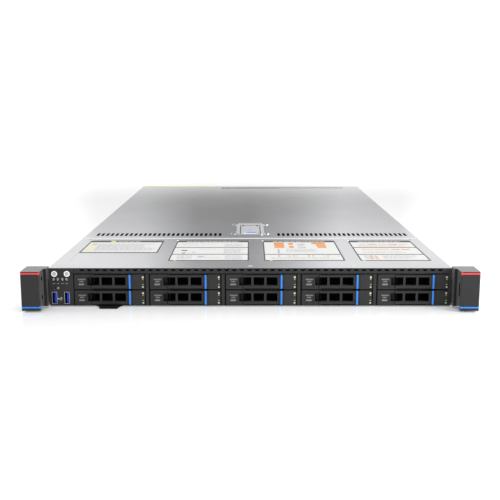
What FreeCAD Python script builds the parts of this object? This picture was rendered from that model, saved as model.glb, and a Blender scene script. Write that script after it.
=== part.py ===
import FreeCAD, Part
import math
import os

os.makedirs("parts", exist_ok=True)

V = FreeCAD.Vector

# Frame: +X to the right seen from the front, +Y to the back, +Z up, millimetres.
# A depth d is counted back from the front plane of the chassis, and a height z up from its underside.

# Overall sizes
RACK_WIDTH = 482.6
CHASSIS_WIDTH = 435.0
CHASSIS_HEIGHT = 43.0
CHASSIS_DEPTH = 795.0
EAR_PROJECTION = 25.6
HANDLE_PROJECTION = 24.0

# Sheet metal
FLOOR_SHEET = 1.2
WALL_SHEET = 1.2
COVER_SHEET = 1.0
COVER_CORNER_RADIUS = 1.4
COVER_FLANGE_HEIGHT = 12.0
COVER_SIDE_GAP = 0.2
SEAT_GAP = 0.2
SLIDE_GAP = 0.3
LIP_RADIUS = 0.4

# Covers
SEAM_DEPTH = 184.0
SEAM_GAP = 0.6
SEAM_FOLD_HEIGHT = 6.0
NOSE_DEPTH = 14.0
NOSE_DROP = 0.8
RECESS_DEPTH = 0.4
RECESS_FRONT = 35.5
RECESS_BACK = 166.0
RECESS_RADIUS = 3.0
RECESS_SPANS = ((-202.2, -108.8), (-93.2, -0.6), (14.8, 107.6), (123.0, 204.0))
EMBOSS_SPACING = 112.5
EMBOSS_WIDTH = 5.0
EMBOSS_FRONT = 7.4
EMBOSS_LENGTH = 4.0
EMBOSS_RISE = 0.85
EMBOSS_SHOULDER = 0.42
EMBOSS_RAMP = 1.2
EMBOSS_ROOT = 0.4
COVER_TRAVEL = 12.0
HOOK_DEPTHS = (225.0, 480.0, 735.0)
HOOK_LENGTH = 6.0
HOOK_HEIGHT = 1.8
HOOK_BELOW_TOP = 9.0
HOOK_REACH = 1.2

# Vent slots of the rear cover
VENT_PITCH = 6.2
VENT_WIDTH = 3.4
FRONT_VENT_LENGTH = 20.0
FRONT_VENT_DEPTH = 201.0
LEFT_VENT_START = -203.0
LEFT_VENT_COUNT = 27
RIGHT_VENT_START = 36.0
RIGHT_VENT_COUNT = 28
REAR_VENT_START = -56.0
REAR_VENT_COUNT = 39
REAR_VENT_LENGTH = 17.0
REAR_VENT_DEPTH = 758.0

# Cover latch, let into the rear cover
LATCH_PAN_WIDTH = 29.8
LATCH_PAN_FRONT = 208.5
LATCH_PAN_LENGTH = 95.0
LATCH_PAN_DEPTH = 6.8
LATCH_WALL = 0.8
LATCH_SEAT = 0.1
LATCH_LIP_GAP = 0.9
LATCH_LIP_LENGTH = 2.2
LATCH_LIP_CREST = 1.4
LATCH_LIP_RISE = 0.45
LATCH_LIP_DROP = 1.2
LATCH_SIDE_FLANGE = 0.9
LATCH_SIDE_DROP = 1.6
LATCH_RIM = 1.6
LATCH_RIM_THICKNESS = 0.9
LATCH_FLANGE = 3.8
LATCH_FLANGE_THICKNESS = 0.5
LATCH_SIDE_GAP = 0.4
LATCH_PLATE = 2.0
LATCH_BARREL_RADIUS = 2.9
LATCH_PIN_RADIUS = 1.5
THUMB_MARGIN = 1.6
THUMB_START = 3.0
THUMB_BOW = 16.0
THUMB_DISH = 0.8
THUMB_SHOULDER = 3.0
RUNNING_FIT = 0.06
LUG_RADIUS = 4.2
LUG_OFFSET = 7.0
LUG_INSET = 9.0
LUG_HOLE_RADIUS = 1.8

# Drive bays: five columns of two
COLUMNS = 5
ROWS = 2
CARRIER_WIDTH = 76.2
CARRIER_HEIGHT = 16.2
COLUMN_PITCH = 81.8
ROW_PITCH = 17.6
FIRST_COLUMN_LEFT = -190.2
LOWER_ROW_BOTTOM = 1.8
BEZEL_FRONT = -2.6
FACE_HALF = 216.9
LIP_FRONT = BEZEL_FRONT - 0.4
BAY_GAP = 0.3
CAGE_DEPTH = 112.0
CAGE_SHEET = 0.8
DIVIDER_TAPER = 0.8
LEDGE_REACH = 2.0
LEDGE_THICKNESS = 0.8
DRIVE_WIDTH = 69.85
DRIVE_HEIGHT = 14.8
DRIVE_LENGTH = 100.2
RAIL_LENGTH = 98.0
RAIL_THICKNESS = 1.4
RAIL_BOTTOM = 1.4
RAIL_TOP = 11.5
DRIVE_NOTCH_LEFT = 12.0
DRIVE_NOTCH_RIGHT = 46.0
DRIVE_NOTCH_LENGTH = 5.0
DRIVE_NOTCH_TOP = 5.0

# Ejector lever and release button of one carrier
EDGE_CHAMFER = 0.9
LABEL_END = 15.6
LABEL_FIELD = (4.0, 13.3)
LABEL_FIELD_BOTTOM = 2.6
LABEL_FIELD_TOP = 13.8
LABEL_FIELD_DEPTH = 0.4
HINGE_OFFSET = 20.2
HINGE_DEPTH = -1.0
LEVER_KNUCKLE = 2.4
LEVER_PIN_RADIUS = 0.7
HINGE_LUG_REACH = 1.4
LEVER_END = 57.4
LEVER_EDGE = 0.5
LEVER_FACE = 1.8
LEVER_RIM_BACK = 1.0
LEVER_FOOT_RIM = 1.6
LEVER_HEAD_RIM = 1.2
LEVER_END_WALL = 1.6
WINDOW_SPANS = ((21.8, 27.7), (30.1, 41.6), (44.1, 55.9))
WINDOW_BOTTOM = 4.2
WINDOW_TOP = 13.2
LEVER_GAP = 0.3
BUTTON_END = 62.8
BUTTON_TRAVEL = 1.4
STRIPE_OFFSET = 59.0
STRIPE_WIDTH = 2.4
STRIPE_RISE = 0.12
STRIPE_DEPTH = 0.5
BACK_PLATE_DEPTH = 2.4
BACK_PLATE = 1.6

# Vent strip above the drives, punched with the lower halves of hexagons
STRIP_BOTTOM = 36.9
STRIP_TOP = 41.7
STRIP_THICKNESS = 1.2
STRIP_FLANGE = 7.0
HEX_PITCH = 8.2
HEX_TOP_WIDTH = 6.4
HEX_FOOT_WIDTH = 2.8
HEX_BOTTOM = 39.3
HEX_TOP = 41.3

# Control panel at the front left
PANEL_LEFT = -214.7
PANEL_RIGHT = -192.8
PANEL_FACE_RIGHT = -190.7
PANEL_FACE_BOTTOM = 1.5
PANEL_FACE_GAP = 0.1
PANEL_POCKET_FRONT = -1.0
PANEL_POCKET_BACK = 3.2
PANEL_TOP = 41.9
PANEL_BODY_DEPTH = 45.0
PANEL_BODY_TOP = 40.8
PANEL_WALL = 1.5
PANEL_BUTTON_Z = 36.4
POWER_X = -210.7
UID_X = -197.2
PANEL_BUTTON_RADIUS = 3.3
PANEL_BUTTON_FLANGE = 0.5
USB_CENTRES = (-211.4, -198.0)
USB_Z = 9.8
USB_WIDTH = 5.7
USB_HEIGHT = 13.1
USB_SHELL = 0.4
USB_DEPTH = 14.0
USB_TONGUE = 1.9
USB_TONGUE_SHIFT = 0.9

# Pull-out information tab under the first column
TAB_CENTRE = -152.2
TAB_WIDTH = 24.4
TAB_WING = 1.5
TAB_LENGTH = 68.0
TAB_PULL_LENGTH = 12.0
TAB_PULL_NARROWING = 2.8
TAB_GAP = 0.15
TAB_THICKNESS = 0.95
TAB_WING_START = 4.0
TAB_RIDGES = 3
TAB_RIDGE_START = 1.2
TAB_RIDGE_PITCH = 2.2
TAB_RIDGE_WIDTH = 0.9
TAB_RIDGE_RISE = 0.35

# Rack ears
EAR_FACE_INNER = 220.8
EAR_ROOT_INNER = 217.8
EAR_BOTTOM = 1.4
EAR_TOP = 43.4
EAR_FLANGE_DEPTH = 4.0
EAR_ROOT_FRONT = -9.5
EAR_HEEL_BACK = -6.0
EAR_HEEL_TOP = 6.2
EAR_FLANGE = 3.0
EAR_CORNER_RADIUS = 1.2
EAR_SKIN = 2.4
EAR_TONGUE_LENGTH = 44.0
EAR_TONGUE_TOP = 29.5
EAR_TONGUE_BOTTOM = 4.0
EAR_SLOT_WIDTH = 5.0
LEFT_SLOT_DEPTH = -17.0
LEFT_SLOTS = ((12.0, 17.0), (32.0, 37.0))
RIGHT_SLOT_DEPTH = -20.4
RIGHT_SLOTS = ((16.0, 30.5),)
RED_STRIPE = (40.2, 42.7)
BLUE_STRIPE = (3.9, 6.1)
EAR_STRIPE_DEPTH = 0.7
RACK_HOLE_SPACING = 465.1
EAR_HOLE_RADIUS = 3.2
RACK_SCREW_RADIUS = 3.0
RACK_SCREW_NECK_RADIUS = 2.5
RACK_SCREW_STANDOFF = 0.2
RACK_SCREW_REACH = 9.0
RACK_SCREW_HEAD_RADIUS = 5.0
RACK_SCREW_HEAD = 4.5

# Rail studs on the side walls
STUD_RADIUS = 2.5
STUD_REACH = 3.0
STUD_DEPTHS = (70.0, 330.0, 640.0)
STUD_Z = 21.5

# Backplane and fans
BACKPLANE_DEPTH = 114.5
BOARD_THICKNESS = 2.0
AIR_WINDOW_LEFT = 8.0
AIR_WINDOW_RIGHT = 62.0
AIR_WINDOW_BOTTOM = 7.0
AIR_WINDOW_TOP = 13.0
RECEPTACLE_LEFT = 13.0
RECEPTACLE_RIGHT = 45.0
RECEPTACLE_BOTTOM = 0.4
RECEPTACLE_TOP = 4.6
FAN_COUNT = 7
FAN_PITCH = 58.0
FAN_SIZE = 40.0
FAN_LENGTH = 52.0
FAN_DEPTH = 127.0
FAN_BORE_RADIUS = 18.8
FAN_HUB_RADIUS = 9.0
FAN_SIDES = 16
HUB_SIDES = 10
FAN_TIP_GAP = 0.8
FAN_BLADES = 5
FAN_BLADE_LENGTH = 20.0
FAN_BLADE_THICKNESS = 1.2
FAN_BLADE_SWEEP = 4.6
FAN_SHAFT_RADIUS = 1.5
FAN_STRUT = 2.4
FAN_STRUT_DEPTH = 5.0
FAN_STRUT_INSET = 4.0
FAN_ROTOR_INSET = 5.0
FAN_BLADE_MARGIN = 2.0
FAN_BLADE_ROOT = 2.5
FAN_BORE_STOP = 2.7

# Mainboard
MAINBOARD_FRONT = 245.0
MAINBOARD_BACK = 782.0
MAINBOARD_BOTTOM = 6.2
STANDOFF_RADIUS = 3.0
STANDOFF_COLUMNS = (-200.0, -8.0, 200.0)
STANDOFF_FRONT = 253.0
STANDOFF_MIDDLE = 495.0
STANDOFF_BACK = 770.0
BOARD_MARGIN = 2.0
BOARD_SOLDER = 0.1
CHIPSET_SIZE = 36.0
CHIPSET_X = -12.0
CHIPSET_DEPTH = 578.0
CHIPSET_HEIGHT = 9.0
RISER_SOCKET_LEFT = -190.0
RISER_SOCKET_LENGTH = 90.0
RISER_SOCKET_DEPTH = 640.0
RISER_SOCKET_WIDTH = 8.0
RISER_SOCKET_HEIGHT = 11.0
CONTROLLER_X = 32.0
CONTROLLER_DEPTH = 652.0
CONTROLLER_SIZE = 24.0
CONTROLLER_HEIGHT = 3.0
SOCKET_X = 104.0
SOCKET_DEPTH = 372.0
SOCKET_SIZE = 77.0
SOCKET_HEIGHT = 4.0
HEATSINK_WIDTH = 78.0
HEATSINK_LENGTH = 108.0
HEATSINK_HEIGHT = 24.0
HEATSINK_BASE = 4.5
HEATSINK_FINS = 13
FIN_THICKNESS = 1.0
MODULE_LENGTH = 133.35
MODULE_HEIGHT = 31.25
MODULE_THICKNESS = 3.2
MODULE_PITCH = 8.2
MODULES_PER_BANK = 4
MODULE_FRONT = 305.0
BANK_STARTS = (-184.0, -52.0, 27.4, 159.4)
MODULE_SOCKET_HEIGHT = 2.2
MODULE_SOCKET_END = 4.0
MODULE_SUNK = 4.0
MODULE_SOCKET_WIDTH = 6.4

# Power supplies at the rear right
PSU_WIDTH = 73.5
PSU_HEIGHT = 39.2
PSU_LENGTH = 185.0
PSU_GAP = 1.6
PSU_RIGHT = 213.6
PSU_BOTTOM = 1.5
PSU_BACK_STANDOUT = 1.5
INLET_X = 17.0
INLET_Z = 13.5
INLET_WIDTH = 24.4
INLET_HEIGHT = 16.4
INLET_DEPTH = 15.0
INLET_PIN_LENGTH = 12.0
INLET_CORNER = 4.2
INLET_PIN_HALF = 1.0
INLET_PIN_HEIGHT = 4.0
INLET_PIN_SPACING = 7.0
LIVE_PIN_BOTTOM = -3.5
EARTH_PIN_BOTTOM = 2.2
PSU_FAN_X = 56.5
PSU_FAN_RADIUS = 15.5
PSU_SLOTS = 3
PSU_SLOT_PITCH = 4.2
PSU_SLOT_WIDTH = 2.8
PSU_SLOT_CUT = 4.0
PSU_ROOM_SIDE = 3.0
PSU_ROOM_FRONT = 12.0
HANDLE_X = 36.5
HANDLE_THICKNESS = 3.2
HANDLE_LOW = 5.5
HANDLE_HIGH = 36.5
HANDLE_BAR = 3.6
HANDLE_RADIUS = 7.0
HANDLE_ROOT = 10.0
PSU_LATCH_X = 41.4
PSU_LATCH_WIDTH = 4.0
PSU_LATCH_HEIGHT = 12.0
PSU_LATCH_REACH = 13.0
PSU_LATCH_ROOT = 9.0
PSU_LATCH_TRAVEL = 3.0
PSU_LATCH_Z = 28.5
PSU_LATCH_HOOK = 2.2
PSU_LATCH_HOOK_START = 3.4
PSU_LATCH_HOOK_SLANT = 1.0

# Rear panel
PANEL_SHEET = 1.2
PSU_BAY_LEFT = PSU_RIGHT - 2 * PSU_WIDTH - PSU_GAP - 1.2
RJ45_CENTRES = (-44.0, -25.5, -7.0)
RJ45_WIDTH = 16.0
RJ45_HEIGHT = 13.4
RJ45_DEPTH = 21.0
RJ45_CAVITY_WIDTH = 11.8
RJ45_CAVITY_HEIGHT = 8.4
RJ45_CAVITY_DEPTH = 13.0
REAR_USB_CENTRES = (10.0, 22.0)
VGA_CENTRE = 43.0
VGA_WIDTH = 17.0
VGA_HEIGHT = 8.6
VGA_SLANT = 1.4
VGA_RISE = 1.5
VGA_DEPTH = 8.0
VGA_STANDOUT = 1.0
PORT_TONGUE_MARGIN = 1.5
SLOT_BRACKETS = ((-211.0, -133.0), (-129.0, -51.0))
BRACKET_HEIGHT = 17.6
BRACKET_BOTTOM = 23.0
BRACKET_WINDOWS = 5
BRACKET_WINDOW_PITCH = 12.5
BRACKET_WINDOW_HALF = 4.2
BRACKET_WINDOW_LOW = 5.0
BRACKET_WINDOW_HIGH = 12.6
BRACKET_MARGIN = 3.0
BRACKET_FRAME = 1.4
BRACKET_SHEET = 0.9
PANEL_SLOTS = 22
PANEL_SLOT_START = -208.0
PANEL_SLOT_PITCH = 7.0
PANEL_SLOT_WIDTH = 4.0
PANEL_SLOT_BOTTOM = 9.0
PANEL_SLOT_TOP = 18.5

FRONT_Y = EAR_PROJECTION - (EAR_PROJECTION + CHASSIS_DEPTH + HANDLE_PROJECTION) / 2
HALF = CHASSIS_WIDTH / 2
COVER_BOTTOM = CHASSIS_HEIGHT - COVER_SHEET
WALL_OUTER = HALF - COVER_SHEET - COVER_SIDE_GAP
WALL_INNER = WALL_OUTER - WALL_SHEET
WALL_TOP = COVER_BOTTOM - SEAT_GAP
LATCH_HALF = LATCH_PAN_WIDTH / 2
LATCH_PAN_BACK = LATCH_PAN_FRONT + LATCH_PAN_LENGTH
LATCH_FLOOR = CHASSIS_HEIGHT - LATCH_PAN_DEPTH
LATCH_PIN_Z = LATCH_FLOOR + LATCH_WALL + SLIDE_GAP + LATCH_BARREL_RADIUS
LATCH_PIN_DEPTH = LATCH_PAN_BACK - LATCH_WALL - SLIDE_GAP - LATCH_BARREL_RADIUS
ROW_TOP = LOWER_ROW_BOTTOM + (ROWS - 1) * ROW_PITCH + CARRIER_HEIGHT
SHELF_BOTTOM = ROW_TOP + BAY_GAP
CAGE_LEFT = FIRST_COLUMN_LEFT - BAY_GAP - CAGE_SHEET
CAGE_RIGHT = FIRST_COLUMN_LEFT + (COLUMNS - 1) * COLUMN_PITCH + CARRIER_WIDTH + BAY_GAP + CAGE_SHEET
BOARD_TOP = MAINBOARD_BOTTOM + BOARD_THICKNESS
REAR_PORT_Z = BOARD_TOP
PSU_BACK = CHASSIS_DEPTH + PSU_BACK_STANDOUT
MIDDLE_Z = (EAR_BOTTOM + EAR_TOP) / 2


def place(x, d, z):
    """The point at x, at depth d behind the front plane, at height z."""
    return V(x, FRONT_Y + d, z)


def block(x0, x1, d0, d1, z0, z1):
    return Part.makeBox(x1 - x0, d1 - d0, z1 - z0, place(x0, d0, z0))


def prism(corners, direction):
    wire = Part.makePolygon(corners + [corners[0]])
    return Part.Face(wire).extrude(direction)


def prism_up(outline, z0, z1):
    """Extrudes an outline of (x, d) points upwards."""
    return prism([place(x, d, z0) for x, d in outline], V(0, 0, z1 - z0))


def prism_across(outline, x0, x1):
    """Extrudes an outline of (d, z) points along X."""
    return prism([place(x0, d, z) for d, z in outline], V(x1 - x0, 0, 0))


def prism_back(outline, d0, d1):
    """Extrudes an outline of (x, z) points towards the back."""
    return prism([place(x, d0, z) for x, z in outline], V(0, d1 - d0, 0))


def rod_back(x, z, radius, d0, d1):
    return Part.makeCylinder(radius, d1 - d0, place(x, d0, z), V(0, 1, 0))


def polygon_rod_back(x, z, radius, sides, d0, d1):
    """A rod along the depth with flat sides, as wide as a round rod of the given radius."""
    outline = []
    for corner in range(sides):
        angle = 2 * math.pi * (corner + 0.5) / sides
        outline.append((x + radius * math.cos(angle), z + radius * math.sin(angle)))
    return prism_back(outline, d0, d1)


def rod_up(x, d, radius, z0, z1):
    return Part.makeCylinder(radius, z1 - z0, place(x, d, z0), V(0, 0, 1))


def rod_across(d, z, radius, x0, x1):
    return Part.makeCylinder(radius, x1 - x0, place(x0, d, z), V(1, 0, 0))


def rounded_face(a0, a1, b0, b1, radius, to_point):
    """A rectangle with round corners, laid where to_point puts its (a, b) coordinates."""
    bend = radius * (1 - math.sqrt(0.5))
    corners = (
        ((a1 - radius, b0), (a1 - bend, b0 + bend), (a1, b0 + radius)),
        ((a1, b1 - radius), (a1 - bend, b1 - bend), (a1 - radius, b1)),
        ((a0 + radius, b1), (a0 + bend, b1 - bend), (a0, b1 - radius)),
        ((a0, b0 + radius), (a0 + bend, b0 + bend), (a0 + radius, b0)),
    )
    edges = []
    for index, (start, middle, end) in enumerate(corners):
        following = corners[(index + 1) % len(corners)][0]
        edges.append(Part.Arc(to_point(*start), to_point(*middle), to_point(*end)).toShape())
        edges.append(Part.LineSegment(to_point(*end), to_point(*following)).toShape())
    return Part.Face(Part.Wire(edges))


def rounded_up(x0, x1, d0, d1, z0, z1, radius):
    face = rounded_face(x0, x1, d0, d1, radius, lambda a, b: place(a, b, z0))
    return face.extrude(V(0, 0, z1 - z0))


def rounded_back(x0, x1, d0, d1, z0, z1, radius):
    face = rounded_face(x0, x1, z0, z1, radius, lambda a, b: place(a, d0, b))
    return face.extrude(V(0, d1 - d0, 0))


def join(solids):
    return solids[0].fuse(list(solids[1:])).removeSplitter()


def mirrored(shape):
    """The same piece on the other side of the server's middle plane."""
    return shape.mirror(V(0, 0, 0), V(1, 0, 0))


def save(name, *solids):
    shape = Part.makeCompound([solid for item in solids for solid in item.Solids])
    shape.exportStep("parts/%s.step" % name)


def side_wall():
    """Right side wall with three L-shaped slots for the cover's hooks and a lowered front."""
    wall = block(WALL_INNER, WALL_OUTER, 0, CHASSIS_DEPTH, FLOOR_SHEET, WALL_TOP)
    hook_bottom = CHASSIS_HEIGHT - HOOK_BELOW_TOP - SLIDE_GAP
    hook_top = CHASSIS_HEIGHT - HOOK_BELOW_TOP + HOOK_HEIGHT + SLIDE_GAP
    cuts = [block(WALL_INNER - 1, WALL_OUTER + 1, -1, NOSE_DEPTH + 1, WALL_TOP - NOSE_DROP, CHASSIS_HEIGHT)]
    for depth in HOOK_DEPTHS:
        start = depth - SLIDE_GAP
        entry = depth + COVER_TRAVEL - SLIDE_GAP
        end = depth + COVER_TRAVEL + HOOK_LENGTH + SLIDE_GAP
        outline = [
            (start, hook_bottom),
            (end, hook_bottom),
            (end, CHASSIS_HEIGHT),
            (entry, CHASSIS_HEIGHT),
            (entry, hook_top),
            (start, hook_top),
        ]
        cuts.append(prism_across(outline, WALL_INNER - 1, WALL_OUTER + 1))
    return wall.cut(cuts)


def chassis_tray():
    """Floor with a rolled front lip and the information tab's way, two side walls and six rail studs."""
    floor = block(-WALL_OUTER, WALL_OUTER, 0, CHASSIS_DEPTH, 0, FLOOR_SHEET)
    lip = rounded_back(-WALL_OUTER, WALL_OUTER, LIP_FRONT, 0.5, 0, FLOOR_SHEET, LIP_RADIUS)
    half = TAB_WIDTH / 2 + TAB_GAP
    wing = half + TAB_WING
    narrow = block(TAB_CENTRE - half, TAB_CENTRE + half, LIP_FRONT - 1, TAB_LENGTH + 1, -1, FLOOR_SHEET + 1)
    wide = block(
        TAB_CENTRE - wing, TAB_CENTRE + wing, LIP_FRONT - 1, TAB_LENGTH + 1, FLOOR_SHEET / 2 - TAB_GAP, FLOOR_SHEET + 1
    )
    pieces = [join([floor, lip]).cut([narrow, wide])]
    wall = side_wall()
    pieces.extend([wall, mirrored(wall)])
    for depth in STUD_DEPTHS:
        stud = rod_across(depth, STUD_Z, STUD_RADIUS, WALL_OUTER, WALL_OUTER + STUD_REACH)
        pieces.extend([stud, mirrored(stud)])
    return pieces


def information_tab():
    """Flat tab that slides in the tray's floor, with a tapered pull in front."""
    half = TAB_WIDTH / 2
    wing_bottom = FLOOR_SHEET / 2
    bottom = TAB_GAP
    top = bottom + TAB_THICKNESS
    stem = block(TAB_CENTRE - half, TAB_CENTRE + half, 0, TAB_LENGTH, bottom, top)
    wings = block(
        TAB_CENTRE - half - TAB_WING, TAB_CENTRE + half + TAB_WING, TAB_WING_START, TAB_LENGTH, wing_bottom, top
    )
    tip = half - TAB_PULL_NARROWING
    outline = [
        (TAB_CENTRE - half, 0),
        (TAB_CENTRE - tip, -TAB_PULL_LENGTH),
        (TAB_CENTRE + tip, -TAB_PULL_LENGTH),
        (TAB_CENTRE + half, 0),
    ]
    pull = prism_up(outline, bottom, top)
    ridges = []
    for step in range(TAB_RIDGES):
        front = -TAB_PULL_LENGTH + TAB_RIDGE_START + TAB_RIDGE_PITCH * step
        back = front + TAB_RIDGE_WIDTH
        ridges.append(block(TAB_CENTRE - tip + 1, TAB_CENTRE + tip - 1, front, back, top - 0.1, top + TAB_RIDGE_RISE))
    return join([stem, wings, pull] + ridges)


def cover_sheet(d0, d1):
    """Top sheet of a cover between two depths, with its side edges rounded."""
    low = CHASSIS_HEIGHT - 2 * COVER_FLANGE_HEIGHT
    outer = rounded_back(-HALF, HALF, d0, d1, low, CHASSIS_HEIGHT, COVER_CORNER_RADIUS)
    return outer.cut(block(-HALF - 1, HALF + 1, d0 - 1, d1 + 1, low - 1, COVER_BOTTOM))


def seam_strip(d0):
    """Stiffening strip under the covers' seam, from depth d0."""
    return block(
        -WALL_INNER + 1, WALL_INNER - 1, d0, d0 + COVER_SHEET, COVER_BOTTOM - SEAM_FOLD_HEIGHT, COVER_BOTTOM
    )


def front_cover():
    """Fixed cover over the drives: sloped nose, label recesses, embosses, side rails and seam strip."""
    slope = [(-1, CHASSIS_HEIGHT - NOSE_DROP), (0, CHASSIS_HEIGHT - NOSE_DROP), (NOSE_DEPTH, CHASSIS_HEIGHT)]
    above = prism_across(slope + [(NOSE_DEPTH, CHASSIS_HEIGHT + 1), (-1, CHASSIS_HEIGHT + 1)], -HALF - 1, HALF + 1)
    sheet = cover_sheet(0, SEAM_DEPTH).cut(above)
    nose_outline = [
        (0, COVER_BOTTOM - NOSE_DROP),
        (NOSE_DEPTH, COVER_BOTTOM),
        (NOSE_DEPTH, COVER_BOTTOM + COVER_SHEET / 2),
        (0, COVER_BOTTOM - NOSE_DROP + COVER_SHEET / 2),
    ]
    nose = prism_across(nose_outline, -HALF + COVER_SIDE_GAP, HALF - COVER_SIDE_GAP)
    low = CHASSIS_HEIGHT - NOSE_DROP
    emboss_top = low + EMBOSS_RISE
    emboss_root = low - EMBOSS_ROOT
    emboss_back = EMBOSS_FRONT + EMBOSS_LENGTH
    emboss_outline = [
        (EMBOSS_FRONT, emboss_root),
        (EMBOSS_FRONT, low + EMBOSS_SHOULDER),
        (EMBOSS_FRONT + EMBOSS_RAMP, emboss_top),
        (emboss_back, emboss_top),
        (emboss_back, emboss_root),
    ]
    embosses = []
    for side in (-1, 0, 1):
        centre = side * EMBOSS_SPACING
        embosses.append(prism_across(emboss_outline, centre - EMBOSS_WIDTH / 2, centre + EMBOSS_WIDTH / 2))
    recesses = []
    for left, right in RECESS_SPANS:
        recesses.append(
            rounded_up(
                left, right, RECESS_FRONT, RECESS_BACK, CHASSIS_HEIGHT - RECESS_DEPTH, CHASSIS_HEIGHT + 1, RECESS_RADIUS
            )
        )
    sheet = join([sheet, nose] + embosses).cut(recesses)
    rail_bottom = CHASSIS_HEIGHT - COVER_FLANGE_HEIGHT
    rail_outline = [
        (0, rail_bottom),
        (SEAM_DEPTH, rail_bottom),
        (SEAM_DEPTH, COVER_BOTTOM),
        (NOSE_DEPTH, COVER_BOTTOM),
        (0, COVER_BOTTOM - NOSE_DROP),
    ]
    rail = prism_across(rail_outline, HALF - COVER_SHEET, HALF)
    return [sheet, rail, mirrored(rail), seam_strip(SEAM_DEPTH - COVER_SHEET)]


def vent_row(start, count, d0, length):
    """A row of slots through the cover's sheet."""
    slots = []
    for index in range(count):
        x0 = start + index * VENT_PITCH
        slots.append(block(x0, x0 + VENT_WIDTH, d0, d0 + length, COVER_BOTTOM - 1, CHASSIS_HEIGHT + 1))
    return slots


def rear_cover():
    """Sliding cover: vented sheet with the latch opening, side rails with hooks, and the seam strip."""
    front = SEAM_DEPTH + SEAM_GAP
    opening = block(
        -LATCH_HALF, LATCH_HALF, LATCH_PAN_FRONT, LATCH_PAN_BACK, COVER_BOTTOM - 1, CHASSIS_HEIGHT + 1
    )
    cuts = [opening]
    cuts += vent_row(LEFT_VENT_START, LEFT_VENT_COUNT, FRONT_VENT_DEPTH, FRONT_VENT_LENGTH)
    cuts += vent_row(RIGHT_VENT_START, RIGHT_VENT_COUNT, FRONT_VENT_DEPTH, FRONT_VENT_LENGTH)
    cuts += vent_row(REAR_VENT_START, REAR_VENT_COUNT, REAR_VENT_DEPTH, REAR_VENT_LENGTH)
    sheet = cover_sheet(front, CHASSIS_DEPTH).cut(cuts)
    hook_z = CHASSIS_HEIGHT - HOOK_BELOW_TOP
    rail = block(HALF - COVER_SHEET, HALF, front, CHASSIS_DEPTH, CHASSIS_HEIGHT - COVER_FLANGE_HEIGHT, COVER_BOTTOM)
    hooks = []
    for depth in HOOK_DEPTHS:
        hooks.append(
            block(WALL_INNER - HOOK_REACH, HALF - 0.5, depth, depth + HOOK_LENGTH, hook_z, hook_z + HOOK_HEIGHT)
        )
    rail = join([rail] + hooks)
    return [sheet, rail, mirrored(rail), seam_strip(front)]


def cover_latch_frame():
    """Pressed pan that hangs in the rear cover, with a rim, four lugs with screw holes, and the hinge pin."""
    half = LATCH_HALF - LATCH_SEAT
    front = LATCH_PAN_FRONT + LATCH_SEAT
    back = LATCH_PAN_BACK - LATCH_SEAT
    rim_top = CHASSIS_HEIGHT + LATCH_RIM_THICKNESS
    flange_top = CHASSIS_HEIGHT + LATCH_FLANGE_THICKNESS
    pan = block(-half, half, front, back, LATCH_FLOOR, CHASSIS_HEIGHT + LATCH_SEAT)
    rim = rounded_up(
        -LATCH_HALF - LATCH_RIM, LATCH_HALF + LATCH_RIM, LATCH_PAN_FRONT - LATCH_RIM, LATCH_PAN_BACK + LATCH_RIM,
        CHASSIS_HEIGHT, rim_top, LATCH_RIM,
    )
    flange = block(
        -LATCH_HALF - LATCH_FLANGE, LATCH_HALF + LATCH_FLANGE, LATCH_PAN_FRONT + LUG_INSET, LATCH_PAN_BACK - LUG_INSET,
        CHASSIS_HEIGHT, flange_top,
    )
    lugs = []
    holes = []
    for side in (-1, 1):
        for depth in (LATCH_PAN_FRONT + LUG_INSET, LATCH_PAN_BACK - LUG_INSET):
            x = side * (LATCH_HALF + LUG_OFFSET)
            neck = sorted((side * LATCH_HALF, x))
            lugs.append(rod_up(x, depth, LUG_RADIUS, CHASSIS_HEIGHT, flange_top))
            lugs.append(
                block(neck[0], neck[1], depth - LUG_RADIUS * 0.6, depth + LUG_RADIUS * 0.6, CHASSIS_HEIGHT, flange_top)
            )
            holes.append(rod_up(x, depth, LUG_HOLE_RADIUS, CHASSIS_HEIGHT - 1, flange_top + 1))
    cavity = block(
        -half + LATCH_WALL, half - LATCH_WALL, front + LATCH_WALL, back - LATCH_WALL, LATCH_FLOOR + LATCH_WALL,
        rim_top + 1,
    )
    pin = rod_across(LATCH_PIN_DEPTH, LATCH_PIN_Z, LATCH_PIN_RADIUS, -half + LATCH_SEAT, half - LATCH_SEAT)
    shell = join([pan, rim, flange] + lugs).cut([cavity] + holes)
    return join([shell, pin])


def cover_latch_lever():
    """Lever plate that lies in the pan, with side flanges, a finger lip and the hinge barrel."""
    half = LATCH_HALF - LATCH_SEAT - LATCH_WALL - LATCH_SIDE_GAP
    front = LATCH_PAN_FRONT + LATCH_WALL + LATCH_LIP_GAP
    top = LATCH_PIN_Z + LATCH_BARREL_RADIUS
    bottom = top - LATCH_PLATE
    plate = block(-half, half, front, LATCH_PIN_DEPTH, bottom, top)
    barrel = rod_across(LATCH_PIN_DEPTH, LATCH_PIN_Z, LATCH_BARREL_RADIUS, -half, half)
    crest = top + LATCH_LIP_RISE
    lip_back = front + LATCH_LIP_LENGTH
    lip_outline = [
        (front, bottom - LATCH_LIP_DROP),
        (lip_back, bottom),
        (lip_back, top),
        (front + LATCH_LIP_CREST, crest),
        (front, crest),
    ]
    lip = prism_across(lip_outline, -half, half)
    flange = block(
        half - LATCH_SIDE_FLANGE, half, front + THUMB_START, LATCH_PIN_DEPTH - 2 * LATCH_BARREL_RADIUS,
        bottom - LATCH_SIDE_DROP, bottom + 0.1,
    )
    lever = join([plate, barrel, lip, flange, mirrored(flange)])
    bore = rod_across(LATCH_PIN_DEPTH, LATCH_PIN_Z, LATCH_PIN_RADIUS + RUNNING_FIT, -half - 1, half + 1)
    thumb = thumb_dish(half - THUMB_MARGIN, front + THUMB_START, top)
    return lever.cut([bore, thumb])


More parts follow.
